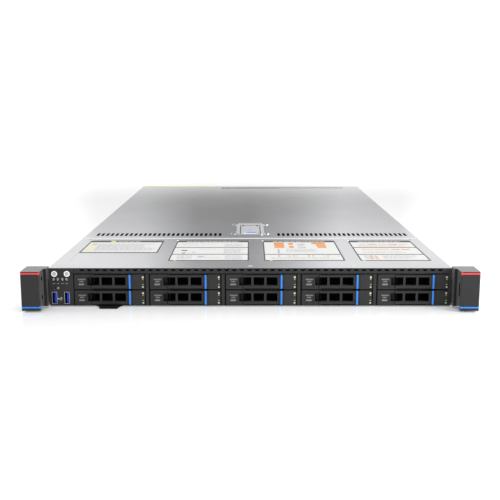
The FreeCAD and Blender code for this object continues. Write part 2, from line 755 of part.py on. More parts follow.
def thumb_dish(half, front, top):
    """Shallow dish for the thumb, straight in front and bowed at its back edge."""
    low = top - THUMB_DISH
    shoulder = front + THUMB_SHOULDER
    arc = Part.Arc(place(half, shoulder, low), place(0, front + THUMB_BOW, low), place(-half, shoulder, low)).toShape()
    corners = [(-half, shoulder), (-half, front), (half, front), (half, shoulder)]
    sides = Part.makePolygon([place(x, d, low) for x, d in corners])
    return Part.Face(Part.Wire([arc] + sides.Edges)).extrude(V(0, 0, THUMB_DISH + 1))


def ear_body(plain_side):
    """Right ear: hollow block with the rack flange at its back and a tongue along the side wall."""
    outer = RACK_WIDTH / 2
    radius = EAR_CORNER_RADIUS
    corner = radius * (1 - math.sqrt(0.5))
    z0 = EAR_BOTTOM
    front = -EAR_PROJECTION
    edges = [
        Part.LineSegment(place(EAR_FACE_INNER + radius, front, z0), place(outer - radius, front, z0)).toShape(),
        Part.Arc(
            place(outer - radius, front, z0), place(outer - corner, front + corner, z0), place(outer, front + radius, z0)
        ).toShape(),
        Part.LineSegment(place(outer, front + radius, z0), place(outer, EAR_FLANGE_DEPTH, z0)).toShape(),
        Part.LineSegment(place(outer, EAR_FLANGE_DEPTH, z0), place(EAR_ROOT_INNER, EAR_FLANGE_DEPTH, z0)).toShape(),
        Part.LineSegment(
            place(EAR_ROOT_INNER, EAR_FLANGE_DEPTH, z0), place(EAR_ROOT_INNER, EAR_ROOT_FRONT, z0)
        ).toShape(),
        Part.LineSegment(
            place(EAR_ROOT_INNER, EAR_ROOT_FRONT, z0), place(EAR_FACE_INNER, EAR_ROOT_FRONT, z0)
        ).toShape(),
        Part.LineSegment(
            place(EAR_FACE_INNER, EAR_ROOT_FRONT, z0), place(EAR_FACE_INNER, front + radius, z0)
        ).toShape(),
        Part.Arc(
            place(EAR_FACE_INNER, front + radius, z0),
            place(EAR_FACE_INNER + corner, front + corner, z0),
            place(EAR_FACE_INNER + radius, front, z0),
        ).toShape(),
    ]
    body = Part.Face(Part.Wire(edges)).extrude(V(0, 0, EAR_TOP - EAR_BOTTOM))
    hollow = block(
        EAR_FACE_INNER + EAR_SKIN, outer - EAR_SKIN, front + EAR_SKIN, EAR_FLANGE_DEPTH - EAR_FLANGE,
        EAR_HEEL_TOP + EAR_SKIN, EAR_TOP - EAR_SKIN,
    )
    heel_front = front + EAR_SKIN
    heel = prism_across(
        [(heel_front, z0 - 1), (heel_front, EAR_HEEL_TOP), (EAR_HEEL_BACK, z0), (EAR_HEEL_BACK, z0 - 1)],
        EAR_ROOT_INNER - 1, outer + 1,
    )
    hole_x = RACK_HOLE_SPACING / 2
    hole = rod_back(hole_x, MIDDLE_Z, EAR_HOLE_RADIUS, 0, EAR_FLANGE_DEPTH + 1)
    tongue = block(
        WALL_OUTER + 0.1, HALF - 0.1, 1, EAR_TONGUE_LENGTH, EAR_TONGUE_BOTTOM, EAR_TONGUE_TOP
    )
    web = block(WALL_OUTER + 0.1, EAR_ROOT_INNER + 0.5, 1, EAR_FLANGE_DEPTH, EAR_TONGUE_BOTTOM, EAR_TONGUE_TOP)
    body = join([body, tongue, web])
    if plain_side:
        ways = [rounded_side_hole(RIGHT_SLOT_DEPTH, low, high) for low, high in RIGHT_SLOTS]
    else:
        ways = [rounded_side_hole(LEFT_SLOT_DEPTH, low, high) for low, high in LEFT_SLOTS]
    return body.cut([hollow, heel, hole] + ways)


def rounded_side_hole(middle, z0, z1):
    """A round-ended hole through the ear's inner skin."""
    start = EAR_FACE_INNER - 1
    half = EAR_SLOT_WIDTH / 2
    face = rounded_face(middle - half, middle + half, z0, z1, half - 0.05, lambda a, b: place(start, a, b))
    return face.extrude(V(EAR_SKIN + 2, 0, 0))


def ear(plain_side, flip):
    """One ear with its red and blue inlays as separate solids."""
    body = ear_body(plain_side)
    inlays = []
    for low, high in (RED_STRIPE, BLUE_STRIPE):
        region = block(
            EAR_FACE_INNER - 1, RACK_WIDTH / 2 + 1, -EAR_PROJECTION - 1, -EAR_PROJECTION + EAR_STRIPE_DEPTH, low, high
        )
        inlays.append(body.common(region))
        body = body.cut(region)
    pieces = [body] + inlays
    if flip:
        pieces = [mirrored(piece) for piece in pieces]
    return pieces


def captive_screws():
    """The two rack screws, held in the ears by their necks, with the threaded ends behind the flanges."""
    screws = []
    head_front = EAR_FLANGE_DEPTH - EAR_FLANGE - RACK_SCREW_HEAD - 0.1
    head_back = head_front + RACK_SCREW_HEAD
    thread_front = EAR_FLANGE_DEPTH + RACK_SCREW_STANDOFF
    end = EAR_FLANGE_DEPTH + RACK_SCREW_REACH
    profile = [
        (0, head_front),
        (RACK_SCREW_HEAD_RADIUS, head_front),
        (RACK_SCREW_HEAD_RADIUS, head_back),
        (RACK_SCREW_NECK_RADIUS, head_back),
        (RACK_SCREW_NECK_RADIUS, thread_front),
        (RACK_SCREW_RADIUS, thread_front),
        (RACK_SCREW_RADIUS, end),
        (0, end),
    ]
    for side in (-1, 1):
        x = side * RACK_HOLE_SPACING / 2
        corners = [place(x + radius, d, MIDDLE_Z) for radius, d in profile]
        face = Part.Face(Part.makePolygon(corners + [corners[0]]))
        screws.append(face.revolve(place(x, 0, MIDDLE_Z), V(0, 1, 0), 360))
    return screws


def column_left(column):
    return FIRST_COLUMN_LEFT + column * COLUMN_PITCH


def row_bottom(row):
    return LOWER_ROW_BOTTOM + row * ROW_PITCH


def cage_ledge(x0, x1):
    """A ledge between the two rows of carriers."""
    low = row_bottom(1) - BAY_GAP - LEDGE_THICKNESS
    return block(x0, x1, 2, CAGE_DEPTH - 2, low, low + LEDGE_THICKNESS)


def drive_cage():
    """Cage sheets: shelf over the bays, two side walls and four folded dividers, all with ledges."""
    shelf_top = SHELF_BOTTOM + CAGE_SHEET
    left_inner = CAGE_LEFT + CAGE_SHEET
    right_inner = CAGE_RIGHT - CAGE_SHEET
    pieces = [block(left_inner, right_inner, 0, CAGE_DEPTH, SHELF_BOTTOM, shelf_top)]
    left_wall = block(CAGE_LEFT, left_inner, 0, CAGE_DEPTH, FLOOR_SHEET, PANEL_BODY_TOP)
    right_wall = block(right_inner, CAGE_RIGHT, 0, CAGE_DEPTH, FLOOR_SHEET, PANEL_BODY_TOP)
    pieces.append(join([left_wall, cage_ledge(CAGE_LEFT, left_inner + LEDGE_REACH)]))
    pieces.append(join([right_wall, cage_ledge(right_inner - LEDGE_REACH, CAGE_RIGHT)]))
    front = BEZEL_FRONT + 0.4
    for column in range(COLUMNS - 1):
        left = column_left(column) + CARRIER_WIDTH + BAY_GAP
        right = column_left(column + 1) - BAY_GAP
        outline = [
            (left, 1.0),
            (left + DIVIDER_TAPER, front),
            (right - DIVIDER_TAPER, front),
            (right, 1.0),
            (right, CAGE_DEPTH),
            (left, CAGE_DEPTH),
        ]
        folded = prism_up(outline, FLOOR_SHEET, SHELF_BOTTOM)
        hollow = block(left + CAGE_SHEET, right - CAGE_SHEET, 1.5, CAGE_DEPTH + 1, FLOOR_SHEET - 1, SHELF_BOTTOM + 1)
        ledges = [cage_ledge(left - LEDGE_REACH, left + CAGE_SHEET), cage_ledge(right - CAGE_SHEET, right + LEDGE_REACH)]
        pieces.append(join([folded.cut(hollow)] + ledges))
    return pieces


def vent_strip():
    """Strip over the drives, punched with half hexagons, with a flange on the cage and a leg at its right."""
    front = BEZEL_FRONT + 0.6
    shelf_top = SHELF_BOTTOM + CAGE_SHEET
    left = CAGE_LEFT + CAGE_SHEET
    right = CAGE_RIGHT - CAGE_SHEET
    back = front + STRIP_THICKNESS
    face = block(left, FACE_HALF, front, back, STRIP_BOTTOM, STRIP_TOP)
    leg = block(right, FACE_HALF, front, 0, PANEL_FACE_BOTTOM, STRIP_BOTTOM)
    flange = block(left, right, front, STRIP_FLANGE, shelf_top, shelf_top + CAGE_SHEET)
    count = int((CAGE_RIGHT - CAGE_LEFT - HEX_PITCH) / HEX_PITCH)
    first = (CAGE_LEFT + CAGE_RIGHT) / 2 - (count - 1) * HEX_PITCH / 2
    holes = []
    for index in range(count):
        x = first + index * HEX_PITCH
        outline = [
            (x - HEX_FOOT_WIDTH / 2, HEX_BOTTOM),
            (x + HEX_FOOT_WIDTH / 2, HEX_BOTTOM),
            (x + HEX_TOP_WIDTH / 2, HEX_TOP),
            (x - HEX_TOP_WIDTH / 2, HEX_TOP),
        ]
        holes.append(prism_back(outline, front - 1, front + STRIP_THICKNESS + 0.5))
    return [join([face, flange]).cut(holes), leg]


def carrier(x0, z0):
    """Drive carrier: bezel ends, back plate with an air opening, hinge pin and side rails; and the drive."""
    back = BACK_PLATE_DEPTH + BACK_PLATE
    z1 = z0 + CARRIER_HEIGHT
    left_outline = [
        (x0, back), (x0, BEZEL_FRONT + EDGE_CHAMFER), (x0 + EDGE_CHAMFER, BEZEL_FRONT), (x0 + LABEL_END, BEZEL_FRONT),
        (x0 + LABEL_END, back),
    ]
    left = prism_up(left_outline, z0, z1)
    right = block(x0 + BUTTON_END + LEVER_GAP, x0 + CARRIER_WIDTH, BEZEL_FRONT, back, z0, z1)
    plate = block(x0, x0 + CARRIER_WIDTH, BACK_PLATE_DEPTH, back, z0, z1)
    lug_end = x0 + HINGE_OFFSET + LEVER_KNUCKLE / 2
    lug_front = HINGE_DEPTH - HINGE_LUG_REACH
    lugs = [
        block(x0 + LABEL_END - 1, lug_end, lug_front, BACK_PLATE_DEPTH + 0.5, z0, z0 + LEVER_EDGE),
        block(x0 + LABEL_END - 1, lug_end, lug_front, BACK_PLATE_DEPTH + 0.5, z1 - LEVER_EDGE, z1),
    ]
    pin = rod_up(x0 + HINGE_OFFSET, HINGE_DEPTH, LEVER_PIN_RADIUS, z0 + 0.1, z1 - 0.1)
    middle = x0 + CARRIER_WIDTH / 2
    drive_left = middle - DRIVE_WIDTH / 2
    rail_end = BACK_PLATE_DEPTH + RAIL_LENGTH
    rails = []
    for side in (-1, 1):
        inner = middle + side * (DRIVE_WIDTH / 2 + BAY_GAP)
        low, high = sorted((inner, inner + side * RAIL_THICKNESS))
        rails.append(block(low, high, BACK_PLATE_DEPTH, rail_end, z0 + RAIL_BOTTOM, z0 + RAIL_TOP))
    frame = join([left, right, plate, pin] + lugs + rails)
    cuts = [
        block(
            x0 + LABEL_FIELD[0], x0 + LABEL_FIELD[1], BEZEL_FRONT - 1, BEZEL_FRONT + LABEL_FIELD_DEPTH,
            z0 + LABEL_FIELD_BOTTOM, z0 + LABEL_FIELD_TOP,
        ),
        block(
            x0 + WINDOW_SPANS[0][0], x0 + WINDOW_SPANS[-1][1], BACK_PLATE_DEPTH - 1, back + 1, z0 + WINDOW_BOTTOM,
            z0 + WINDOW_TOP,
        ),
    ]
    frame = frame.cut(cuts)
    drive_front = back + SLIDE_GAP
    drive_bottom = z0 + (CARRIER_HEIGHT - DRIVE_HEIGHT) / 2
    drive = block(
        drive_left, drive_left + DRIVE_WIDTH, drive_front, drive_front + DRIVE_LENGTH, drive_bottom,
        drive_bottom + DRIVE_HEIGHT,
    )
    drive_end = drive_front + DRIVE_LENGTH
    notch = block(
        drive_left + DRIVE_NOTCH_LEFT, drive_left + DRIVE_NOTCH_RIGHT, drive_end - DRIVE_NOTCH_LENGTH, drive_end + 1,
        drive_bottom - 1, drive_bottom + DRIVE_NOTCH_TOP,
    )
    return [frame, drive.cut(notch)]


def lever(x0, z0):
    """Ejector lever: rims, ribs between three windows, and the hinge knuckle at its left."""
    bottom = z0 + LEVER_EDGE + LEVER_GAP
    top = z0 + CARRIER_HEIGHT - LEVER_EDGE - LEVER_GAP
    start = x0 + HINGE_OFFSET
    end = x0 + LEVER_END
    face_back = BEZEL_FRONT + LEVER_FACE
    face = block(start, end, BEZEL_FRONT, face_back, bottom, top)
    rims = [
        block(start, end, BEZEL_FRONT, LEVER_RIM_BACK, bottom, z0 + WINDOW_BOTTOM - LEVER_FOOT_RIM),
        block(start, end, BEZEL_FRONT, LEVER_RIM_BACK, z0 + WINDOW_TOP + LEVER_HEAD_RIM, top),
    ]
    end_wall = block(end - LEVER_END_WALL, end, BEZEL_FRONT, LEVER_END_WALL, bottom, top)
    reach = LEVER_KNUCKLE / 2
    knuckle = block(start - reach, start + reach, HINGE_DEPTH - reach, HINGE_DEPTH + reach, bottom, top)
    shape = join([face, end_wall, knuckle] + rims)
    cuts = [rod_up(start, HINGE_DEPTH, LEVER_PIN_RADIUS + RUNNING_FIT, bottom - 1, top + 1)]
    for low, high in WINDOW_SPANS:
        cuts.append(
            block(x0 + low, x0 + high, BEZEL_FRONT - 1, face_back + 1, z0 + WINDOW_BOTTOM, z0 + WINDOW_TOP)
        )
    return shape.cut(cuts)


def release_button(x0, z0):
    """Release button with its blue stripe as an inlay."""
    left = x0 + LEVER_END + LEVER_GAP
    right = x0 + BUTTON_END
    bottom = z0 + LEVER_EDGE
    top = z0 + CARRIER_HEIGHT - LEVER_EDGE
    back = BACK_PLATE_DEPTH - BUTTON_TRAVEL - SLIDE_GAP
    body = block(left, right, BEZEL_FRONT, back, bottom, top)
    stripe_left = x0 + STRIPE_OFFSET
    stripe_back = BEZEL_FRONT + STRIPE_DEPTH
    groove = block(stripe_left, stripe_left + STRIPE_WIDTH, BEZEL_FRONT - 1, stripe_back, bottom - 1, top + 1)
    stripe = block(stripe_left, stripe_left + STRIPE_WIDTH, BEZEL_FRONT - STRIPE_RISE, stripe_back, bottom, top)
    return [body.cut(groove), stripe]


def control_panel():
    """Control panel: face plate, housing and two upright USB sockets with their tongues."""
    face_front = BEZEL_FRONT
    plate = block(-FACE_HALF, PANEL_FACE_RIGHT, face_front, -PANEL_FACE_GAP, PANEL_FACE_BOTTOM, PANEL_TOP)
    body = block(PANEL_LEFT, PANEL_RIGHT, -PANEL_FACE_GAP, PANEL_BODY_DEPTH, FLOOR_SHEET, PANEL_BODY_TOP)
    hollow = block(
        PANEL_LEFT + PANEL_WALL, PANEL_RIGHT - PANEL_WALL, USB_DEPTH, PANEL_BODY_DEPTH + 1,
        FLOOR_SHEET + PANEL_WALL, PANEL_BODY_TOP - PANEL_WALL,
    )
    cuts = [hollow]
    flange_room = PANEL_BUTTON_RADIUS + SLIDE_GAP + PANEL_BUTTON_FLANGE
    for x in (POWER_X, UID_X):
        cuts.append(rod_back(x, PANEL_BUTTON_Z, PANEL_BUTTON_RADIUS + SLIDE_GAP, face_front - 1, 1))
        low = PANEL_BUTTON_Z - flange_room
        high = PANEL_BUTTON_Z + flange_room
        cuts.append(block(x - flange_room, x + flange_room, PANEL_POCKET_FRONT, PANEL_POCKET_BACK, low, high))
    pieces = []
    for x in USB_CENTRES:
        x0 = x - USB_WIDTH / 2
        x1 = x + USB_WIDTH / 2
        z0 = USB_Z - USB_HEIGHT / 2
        z1 = USB_Z + USB_HEIGHT / 2
        cuts.append(block(x0, x1, face_front - 1, USB_DEPTH + 1, z0, z1))
        shell = block(x0 + 0.05, x1 - 0.05, face_front + 0.2, USB_DEPTH, z0 + 0.05, z1 - 0.05)
        cavity = block(
            x0 + USB_SHELL, x1 - USB_SHELL, face_front - 1, USB_DEPTH - 2, z0 + USB_SHELL, z1 - USB_SHELL
        )
        pieces.append(shell.cut(cavity))
        tongue_x = x + USB_TONGUE_SHIFT
        pieces.append(
            block(
                tongue_x - USB_TONGUE / 2, tongue_x + USB_TONGUE / 2, face_front + 0.9, USB_DEPTH - 2, z0 + 1.1, z1 - 1.1
            )
        )
    housing = join([plate, body]).cut(cuts)
    return [housing] + pieces


def panel_button(x):
    """Round push button with a bevelled cap and a flange that holds it behind the plate."""
    flange_front = -1.0 + SLIDE_GAP
    radius = PANEL_BUTTON_RADIUS
    profile = [
        (0, BEZEL_FRONT - 0.4),
        (radius - 0.4, BEZEL_FRONT - 0.4),
        (radius, BEZEL_FRONT),
        (radius, flange_front),
        (radius + PANEL_BUTTON_FLANGE - 0.2, flange_front),
        (radius + PANEL_BUTTON_FLANGE - 0.2, flange_front + 1.0),
        (0, flange_front + 1.0),
    ]
    corners = [place(x + r, d, PANEL_BUTTON_Z) for r, d in profile]
    face = Part.Face(Part.makePolygon(corners + [corners[0]]))
    return face.revolve(place(x, 0, PANEL_BUTTON_Z), V(0, 1, 0), 360)


def backplane():
    """Drive backplane with air windows and a receptacle for each drive."""
    board = block(
        CAGE_LEFT + 1, CAGE_RIGHT - 1, BACKPLANE_DEPTH, BACKPLANE_DEPTH + BOARD_THICKNESS, FLOOR_SHEET, PANEL_BODY_TOP
    )
    drive_end = BACK_PLATE_DEPTH + BACK_PLATE + SLIDE_GAP + DRIVE_LENGTH
    back = BACKPLANE_DEPTH + BOARD_THICKNESS
    windows = []
    sockets = []
    for column in range(COLUMNS):
        left = column_left(column) + (CARRIER_WIDTH - DRIVE_WIDTH) / 2
        for row in range(ROWS):
            bottom = row_bottom(row) + (CARRIER_HEIGHT - DRIVE_HEIGHT) / 2
            windows.append(
                block(
                    left + AIR_WINDOW_LEFT, left + AIR_WINDOW_RIGHT, BACKPLANE_DEPTH - 1, back + 1,
                    bottom + AIR_WINDOW_BOTTOM, bottom + AIR_WINDOW_TOP,
                )
            )
            sockets.append(
                block(
                    left + RECEPTACLE_LEFT, left + RECEPTACLE_RIGHT, drive_end + SLIDE_GAP, BACKPLANE_DEPTH + 0.2,
                    bottom + RECEPTACLE_BOTTOM, bottom + RECEPTACLE_TOP,
                )
            )
    return join([board.cut(windows)] + sockets)


def fan_centre(index):
    return (index - (FAN_COUNT - 1) / 2) * FAN_PITCH


FAN_Z = FLOOR_SHEET + SEAT_GAP + FAN_SIZE / 2
ROTOR_FRONT = FAN_DEPTH + FAN_ROTOR_INSET


def fan_frame(index):
    """Square fan housing with a round duct, a motor seat on crossed struts, and the shaft."""
    x = fan_centre(index)
    half = FAN_SIZE / 2
    back = FAN_DEPTH + FAN_LENGTH
    body = block(x - half, x + half, FAN_DEPTH, back, FAN_Z - half, FAN_Z + half)
    duct = polygon_rod_back(x, FAN_Z, FAN_BORE_RADIUS, FAN_SIDES, FAN_DEPTH - 1, back + 1)
    seat_front = ROTOR_FRONT + FAN_BLADE_LENGTH + SLIDE_GAP
    strut_back = back - FAN_STRUT_INSET
    strut_front = strut_back - FAN_STRUT_DEPTH
    strut = FAN_STRUT / 2
    seat = polygon_rod_back(x, FAN_Z, FAN_HUB_RADIUS, HUB_SIDES, seat_front, strut_back)
    shaft = rod_back(x, FAN_Z, FAN_SHAFT_RADIUS, ROTOR_FRONT + FAN_BORE_STOP + SLIDE_GAP, seat_front + 1)
    upright = block(x - strut, x + strut, strut_front, strut_back, FAN_Z - half, FAN_Z + half)
    level = block(x - half, x + half, strut_front, strut_back, FAN_Z - strut, FAN_Z + strut)
    return join([body.cut(duct), seat, shaft, upright, level])


def fan_rotor(index):
    """Fan rotor: hub with a blind bore and raked blades."""
    x = fan_centre(index)
    tip = FAN_BORE_RADIUS * math.cos(math.pi / FAN_SIDES) - FAN_TIP_GAP
    back = ROTOR_FRONT + FAN_BLADE_LENGTH
    hub = polygon_rod_back(x, FAN_Z, FAN_HUB_RADIUS, HUB_SIDES, ROTOR_FRONT, back)
    blade_front = ROTOR_FRONT + FAN_BLADE_MARGIN
    blade_back = back - FAN_BLADE_MARGIN
    blades = []
    for step in range(FAN_BLADES):
        outline = [
            (x - FAN_BLADE_SWEEP, blade_front),
            (x - FAN_BLADE_SWEEP + FAN_BLADE_THICKNESS, blade_front - FAN_BLADE_THICKNESS / 2),
            (x + FAN_BLADE_SWEEP, blade_back),
            (x + FAN_BLADE_SWEEP - FAN_BLADE_THICKNESS, blade_back + FAN_BLADE_THICKNESS / 2),
        ]
        blade = prism_up(outline, FAN_Z + FAN_HUB_RADIUS - FAN_BLADE_ROOT, FAN_Z + tip - 1)
        blade.rotate(place(x, 0, FAN_Z), V(0, 1, 0), 360 / FAN_BLADES * step)
        blades.append(blade)
    bore = rod_back(x, FAN_Z, FAN_SHAFT_RADIUS + RUNNING_FIT, ROTOR_FRONT + FAN_BORE_STOP, back + 1)
    return join([hub] + blades).cut(bore)


def standoff(x, d):
    """A hexagonal standoff under the mainboard."""
    outline = []
    for corner in range(6):
        angle = math.pi * corner / 3
        outline.append((x + STANDOFF_RADIUS * math.cos(angle), d + STANDOFF_RADIUS * math.sin(angle)))
    return prism_up(outline, FLOOR_SHEET, MAINBOARD_BOTTOM + 0.5)


def on_board(x, d, width, length, height):
    """A block soldered to the mainboard, centred at x and d."""
    return block(
        x - width / 2, x + width / 2, d - length / 2, d + length / 2, BOARD_TOP - BOARD_SOLDER, BOARD_TOP + height
    )


def mainboard():
    """Mainboard on standoffs, with CPU sockets, memory slots and chips soldered to it."""
    edge = WALL_INNER - BOARD_MARGIN
    notch_left = PSU_BAY_LEFT - PSU_ROOM_SIDE
    notch_front = CHASSIS_DEPTH - PSU_LENGTH - PSU_ROOM_FRONT
    outline = [
        (-edge, MAINBOARD_FRONT),
        (edge, MAINBOARD_FRONT),
        (edge, notch_front),
        (notch_left, notch_front),
        (notch_left, MAINBOARD_BACK),
        (-edge, MAINBOARD_BACK),
    ]
    pieces = [prism_up(outline, MAINBOARD_BOTTOM, BOARD_TOP)]
    for x in STANDOFF_COLUMNS:
        pieces.append(standoff(x, STANDOFF_FRONT))
        pieces.append(standoff(x, STANDOFF_MIDDLE))
    for x in STANDOFF_COLUMNS[:2]:
        pieces.append(standoff(x, STANDOFF_BACK))
    for side in (-1, 1):
        pieces.append(on_board(side * SOCKET_X, SOCKET_DEPTH, SOCKET_SIZE, SOCKET_SIZE, SOCKET_HEIGHT))
    slot_middle = MODULE_FRONT + MODULE_LENGTH / 2
    slot_length = MODULE_LENGTH + 2 * MODULE_SOCKET_END
    for start in BANK_STARTS:
        for index in range(MODULES_PER_BANK):
            middle = start + index * MODULE_PITCH
            pieces.append(on_board(middle, slot_middle, MODULE_SOCKET_WIDTH, slot_length, MODULE_SOCKET_HEIGHT))
    riser_x = RISER_SOCKET_LEFT + RISER_SOCKET_LENGTH / 2
    pieces.append(on_board(CHIPSET_X, CHIPSET_DEPTH, CHIPSET_SIZE, CHIPSET_SIZE, CHIPSET_HEIGHT))
    pieces.append(
        on_board(riser_x, RISER_SOCKET_DEPTH, RISER_SOCKET_LENGTH, RISER_SOCKET_WIDTH, RISER_SOCKET_HEIGHT)
    )
    pieces.append(on_board(CONTROLLER_X, CONTROLLER_DEPTH, CONTROLLER_SIZE, CONTROLLER_SIZE, CONTROLLER_HEIGHT))
    return join(pieces)


def memory_modules():
    modules = []
    for start in BANK_STARTS:
        for index in range(MODULES_PER_BANK):
            middle = start + index * MODULE_PITCH
            bottom = BOARD_TOP + MODULE_SOCKET_HEIGHT
            module = block(
                middle - MODULE_THICKNESS / 2, middle + MODULE_THICKNESS / 2, MODULE_FRONT,
                MODULE_FRONT + MODULE_LENGTH, bottom, bottom + MODULE_HEIGHT - MODULE_SUNK,
            )
            modules.append(module)
    return modules


def heatsink(side):
    """CPU heatsink: base plate and a row of fins along the air flow."""
    middle = side * SOCKET_X
    left = middle - HEATSINK_WIDTH / 2
    front = SOCKET_DEPTH - HEATSINK_LENGTH / 2
    back = SOCKET_DEPTH + HEATSINK_LENGTH / 2
    bottom = BOARD_TOP + SOCKET_HEIGHT
    top = bottom + HEATSINK_HEIGHT
    pitch = (HEATSINK_WIDTH - FIN_THICKNESS) / (HEATSINK_FINS - 1)
    outline = [(left, bottom)]
    outline.append((left + HEATSINK_WIDTH, bottom))
    for index in reversed(range(HEATSINK_FINS)):
        fin_left = left + index * pitch
        outline.append((fin_left + FIN_THICKNESS, top))
        outline.append((fin_left, top))
        if index:
            outline.append((fin_left, bottom + HEATSINK_BASE))
            outline.append((fin_left - pitch + FIN_THICKNESS, bottom + HEATSINK_BASE))
    return prism_back(outline, front, back)


def psu_left(number):
    return PSU_RIGHT - (2 - number) * (PSU_WIDTH + PSU_GAP) - PSU_WIDTH


def power_supply(number):
    """Power supply: case with the mains inlet, fan grille, latch pocket and handle loop."""
    x0 = psu_left(number)
    z0 = PSU_BOTTOM
    front = PSU_BACK - PSU_LENGTH
    body = block(x0, x0 + PSU_WIDTH, front, PSU_BACK, z0, z0 + PSU_HEIGHT)
    inlet_x = x0 + INLET_X
    inlet_z = z0 + INLET_Z
    half = INLET_WIDTH / 2
    rise = INLET_HEIGHT / 2
    outline = [
        (inlet_x - half, inlet_z - rise),
        (inlet_x + half, inlet_z - rise),
        (inlet_x + half, inlet_z + rise - INLET_CORNER),
        (inlet_x + half - INLET_CORNER, inlet_z + rise),
        (inlet_x - half + INLET_CORNER, inlet_z + rise),
        (inlet_x - half, inlet_z + rise - INLET_CORNER),
    ]
    cuts = [prism_back(outline, PSU_BACK - INLET_DEPTH, PSU_BACK + 1)]
    fan_x = x0 + PSU_FAN_X
    fan_z = z0 + PSU_HEIGHT / 2
    for step in range(-PSU_SLOTS, PSU_SLOTS + 1):
        slot_x = fan_x + step * PSU_SLOT_PITCH
        rise_here = math.sqrt(PSU_FAN_RADIUS ** 2 - (step * PSU_SLOT_PITCH) ** 2)
        cuts.append(
            block(
                slot_x - PSU_SLOT_WIDTH / 2, slot_x + PSU_SLOT_WIDTH / 2, PSU_BACK - PSU_SLOT_CUT, PSU_BACK + 1,
                fan_z - rise_here, fan_z + rise_here,
            )
        )
    latch_left = x0 + PSU_LATCH_X - SLIDE_GAP
    latch_right = x0 + PSU_LATCH_X + PSU_LATCH_WIDTH + PSU_LATCH_TRAVEL + SLIDE_GAP
    latch_low = z0 + PSU_LATCH_Z - PSU_LATCH_HEIGHT / 2
    pocket = block(
        latch_left, latch_right, PSU_BACK - PSU_LATCH_ROOT - SLIDE_GAP, PSU_BACK + 1, latch_low - SLIDE_GAP,
        latch_low + PSU_LATCH_HEIGHT + SLIDE_GAP,
    )
    body = body.cut(cuts + [pocket])
    pins = []
    pin_front = PSU_BACK - INLET_DEPTH - 0.5
    pin_back = PSU_BACK - INLET_DEPTH + INLET_PIN_LENGTH
    for offset, low in (
        (-INLET_PIN_SPACING, LIVE_PIN_BOTTOM), (INLET_PIN_SPACING, LIVE_PIN_BOTTOM), (0, EARTH_PIN_BOTTOM)
    ):
        pin_x = inlet_x + offset
        pin_low = inlet_z + low
        pins.append(
            block(
                pin_x - INLET_PIN_HALF, pin_x + INLET_PIN_HALF, pin_front, pin_back, pin_low, pin_low + INLET_PIN_HEIGHT
            )
        )
    handle_x = x0 + HANDLE_X
    back = CHASSIS_DEPTH + HANDLE_PROJECTION
    outer = rounded_face(
        PSU_BACK - HANDLE_ROOT, back, z0 + HANDLE_LOW, z0 + HANDLE_HIGH, HANDLE_RADIUS,
        lambda a, b: place(handle_x - HANDLE_THICKNESS / 2, a, b),
    ).extrude(V(HANDLE_THICKNESS, 0, 0))
    inner = rounded_face(
        PSU_BACK - HANDLE_ROOT - 2, back - HANDLE_BAR, z0 + HANDLE_LOW + HANDLE_BAR, z0 + HANDLE_HIGH - HANDLE_BAR,
        HANDLE_RADIUS - HANDLE_BAR, lambda a, b: place(handle_x - HANDLE_THICKNESS, a, b),
    ).extrude(V(2 * HANDLE_THICKNESS, 0, 0))
    ahead = block(
        handle_x - HANDLE_THICKNESS, handle_x + HANDLE_THICKNESS, PSU_BACK - 2 * HANDLE_ROOT, PSU_BACK, z0,
        z0 + PSU_HEIGHT,
    )
    handle = outer.cut([inner, ahead])
    return [join([body] + pins + handle.Solids)]


def power_supply_latch(number):
    """Sideways release tab of one power supply."""
    x0 = psu_left(number) + PSU_LATCH_X
    low = PSU_BOTTOM + PSU_LATCH_Z - PSU_LATCH_HEIGHT / 2
    x1 = x0 + PSU_LATCH_WIDTH
    top = low + PSU_LATCH_HEIGHT
    end = PSU_BACK + PSU_LATCH_REACH
    hook_start = PSU_BACK + PSU_LATCH_HOOK_START
    stem = block(x0, x1, PSU_BACK - PSU_LATCH_ROOT, end, low, top)
    outline = [
        (x1 - 0.5, hook_start),
        (x1, hook_start),
        (x1 + PSU_LATCH_HOOK, hook_start + PSU_LATCH_HOOK_SLANT),
        (x1 + PSU_LATCH_HOOK, end - PSU_LATCH_HOOK_SLANT),
        (x1, end),
        (x1 - 0.5, end),
    ]
    return join([stem, prism_up(outline, low, top)])


def port_shell(x, z0, width, height, cavity_width, cavity_height, cavity_depth):
    """A port housing behind the rear panel with its mouth in the panel's plane."""
    back = CHASSIS_DEPTH - 0.1
    body = block(x - width / 2, x + width / 2, back - RJ45_DEPTH, back, z0, z0 + height)
    mouth_low = z0 + (height - cavity_height) / 2
    mouth = block(
        x - cavity_width / 2, x + cavity_width / 2, back - cavity_depth, back + 1, mouth_low, mouth_low + cavity_height
    )
    return body.cut(mouth)


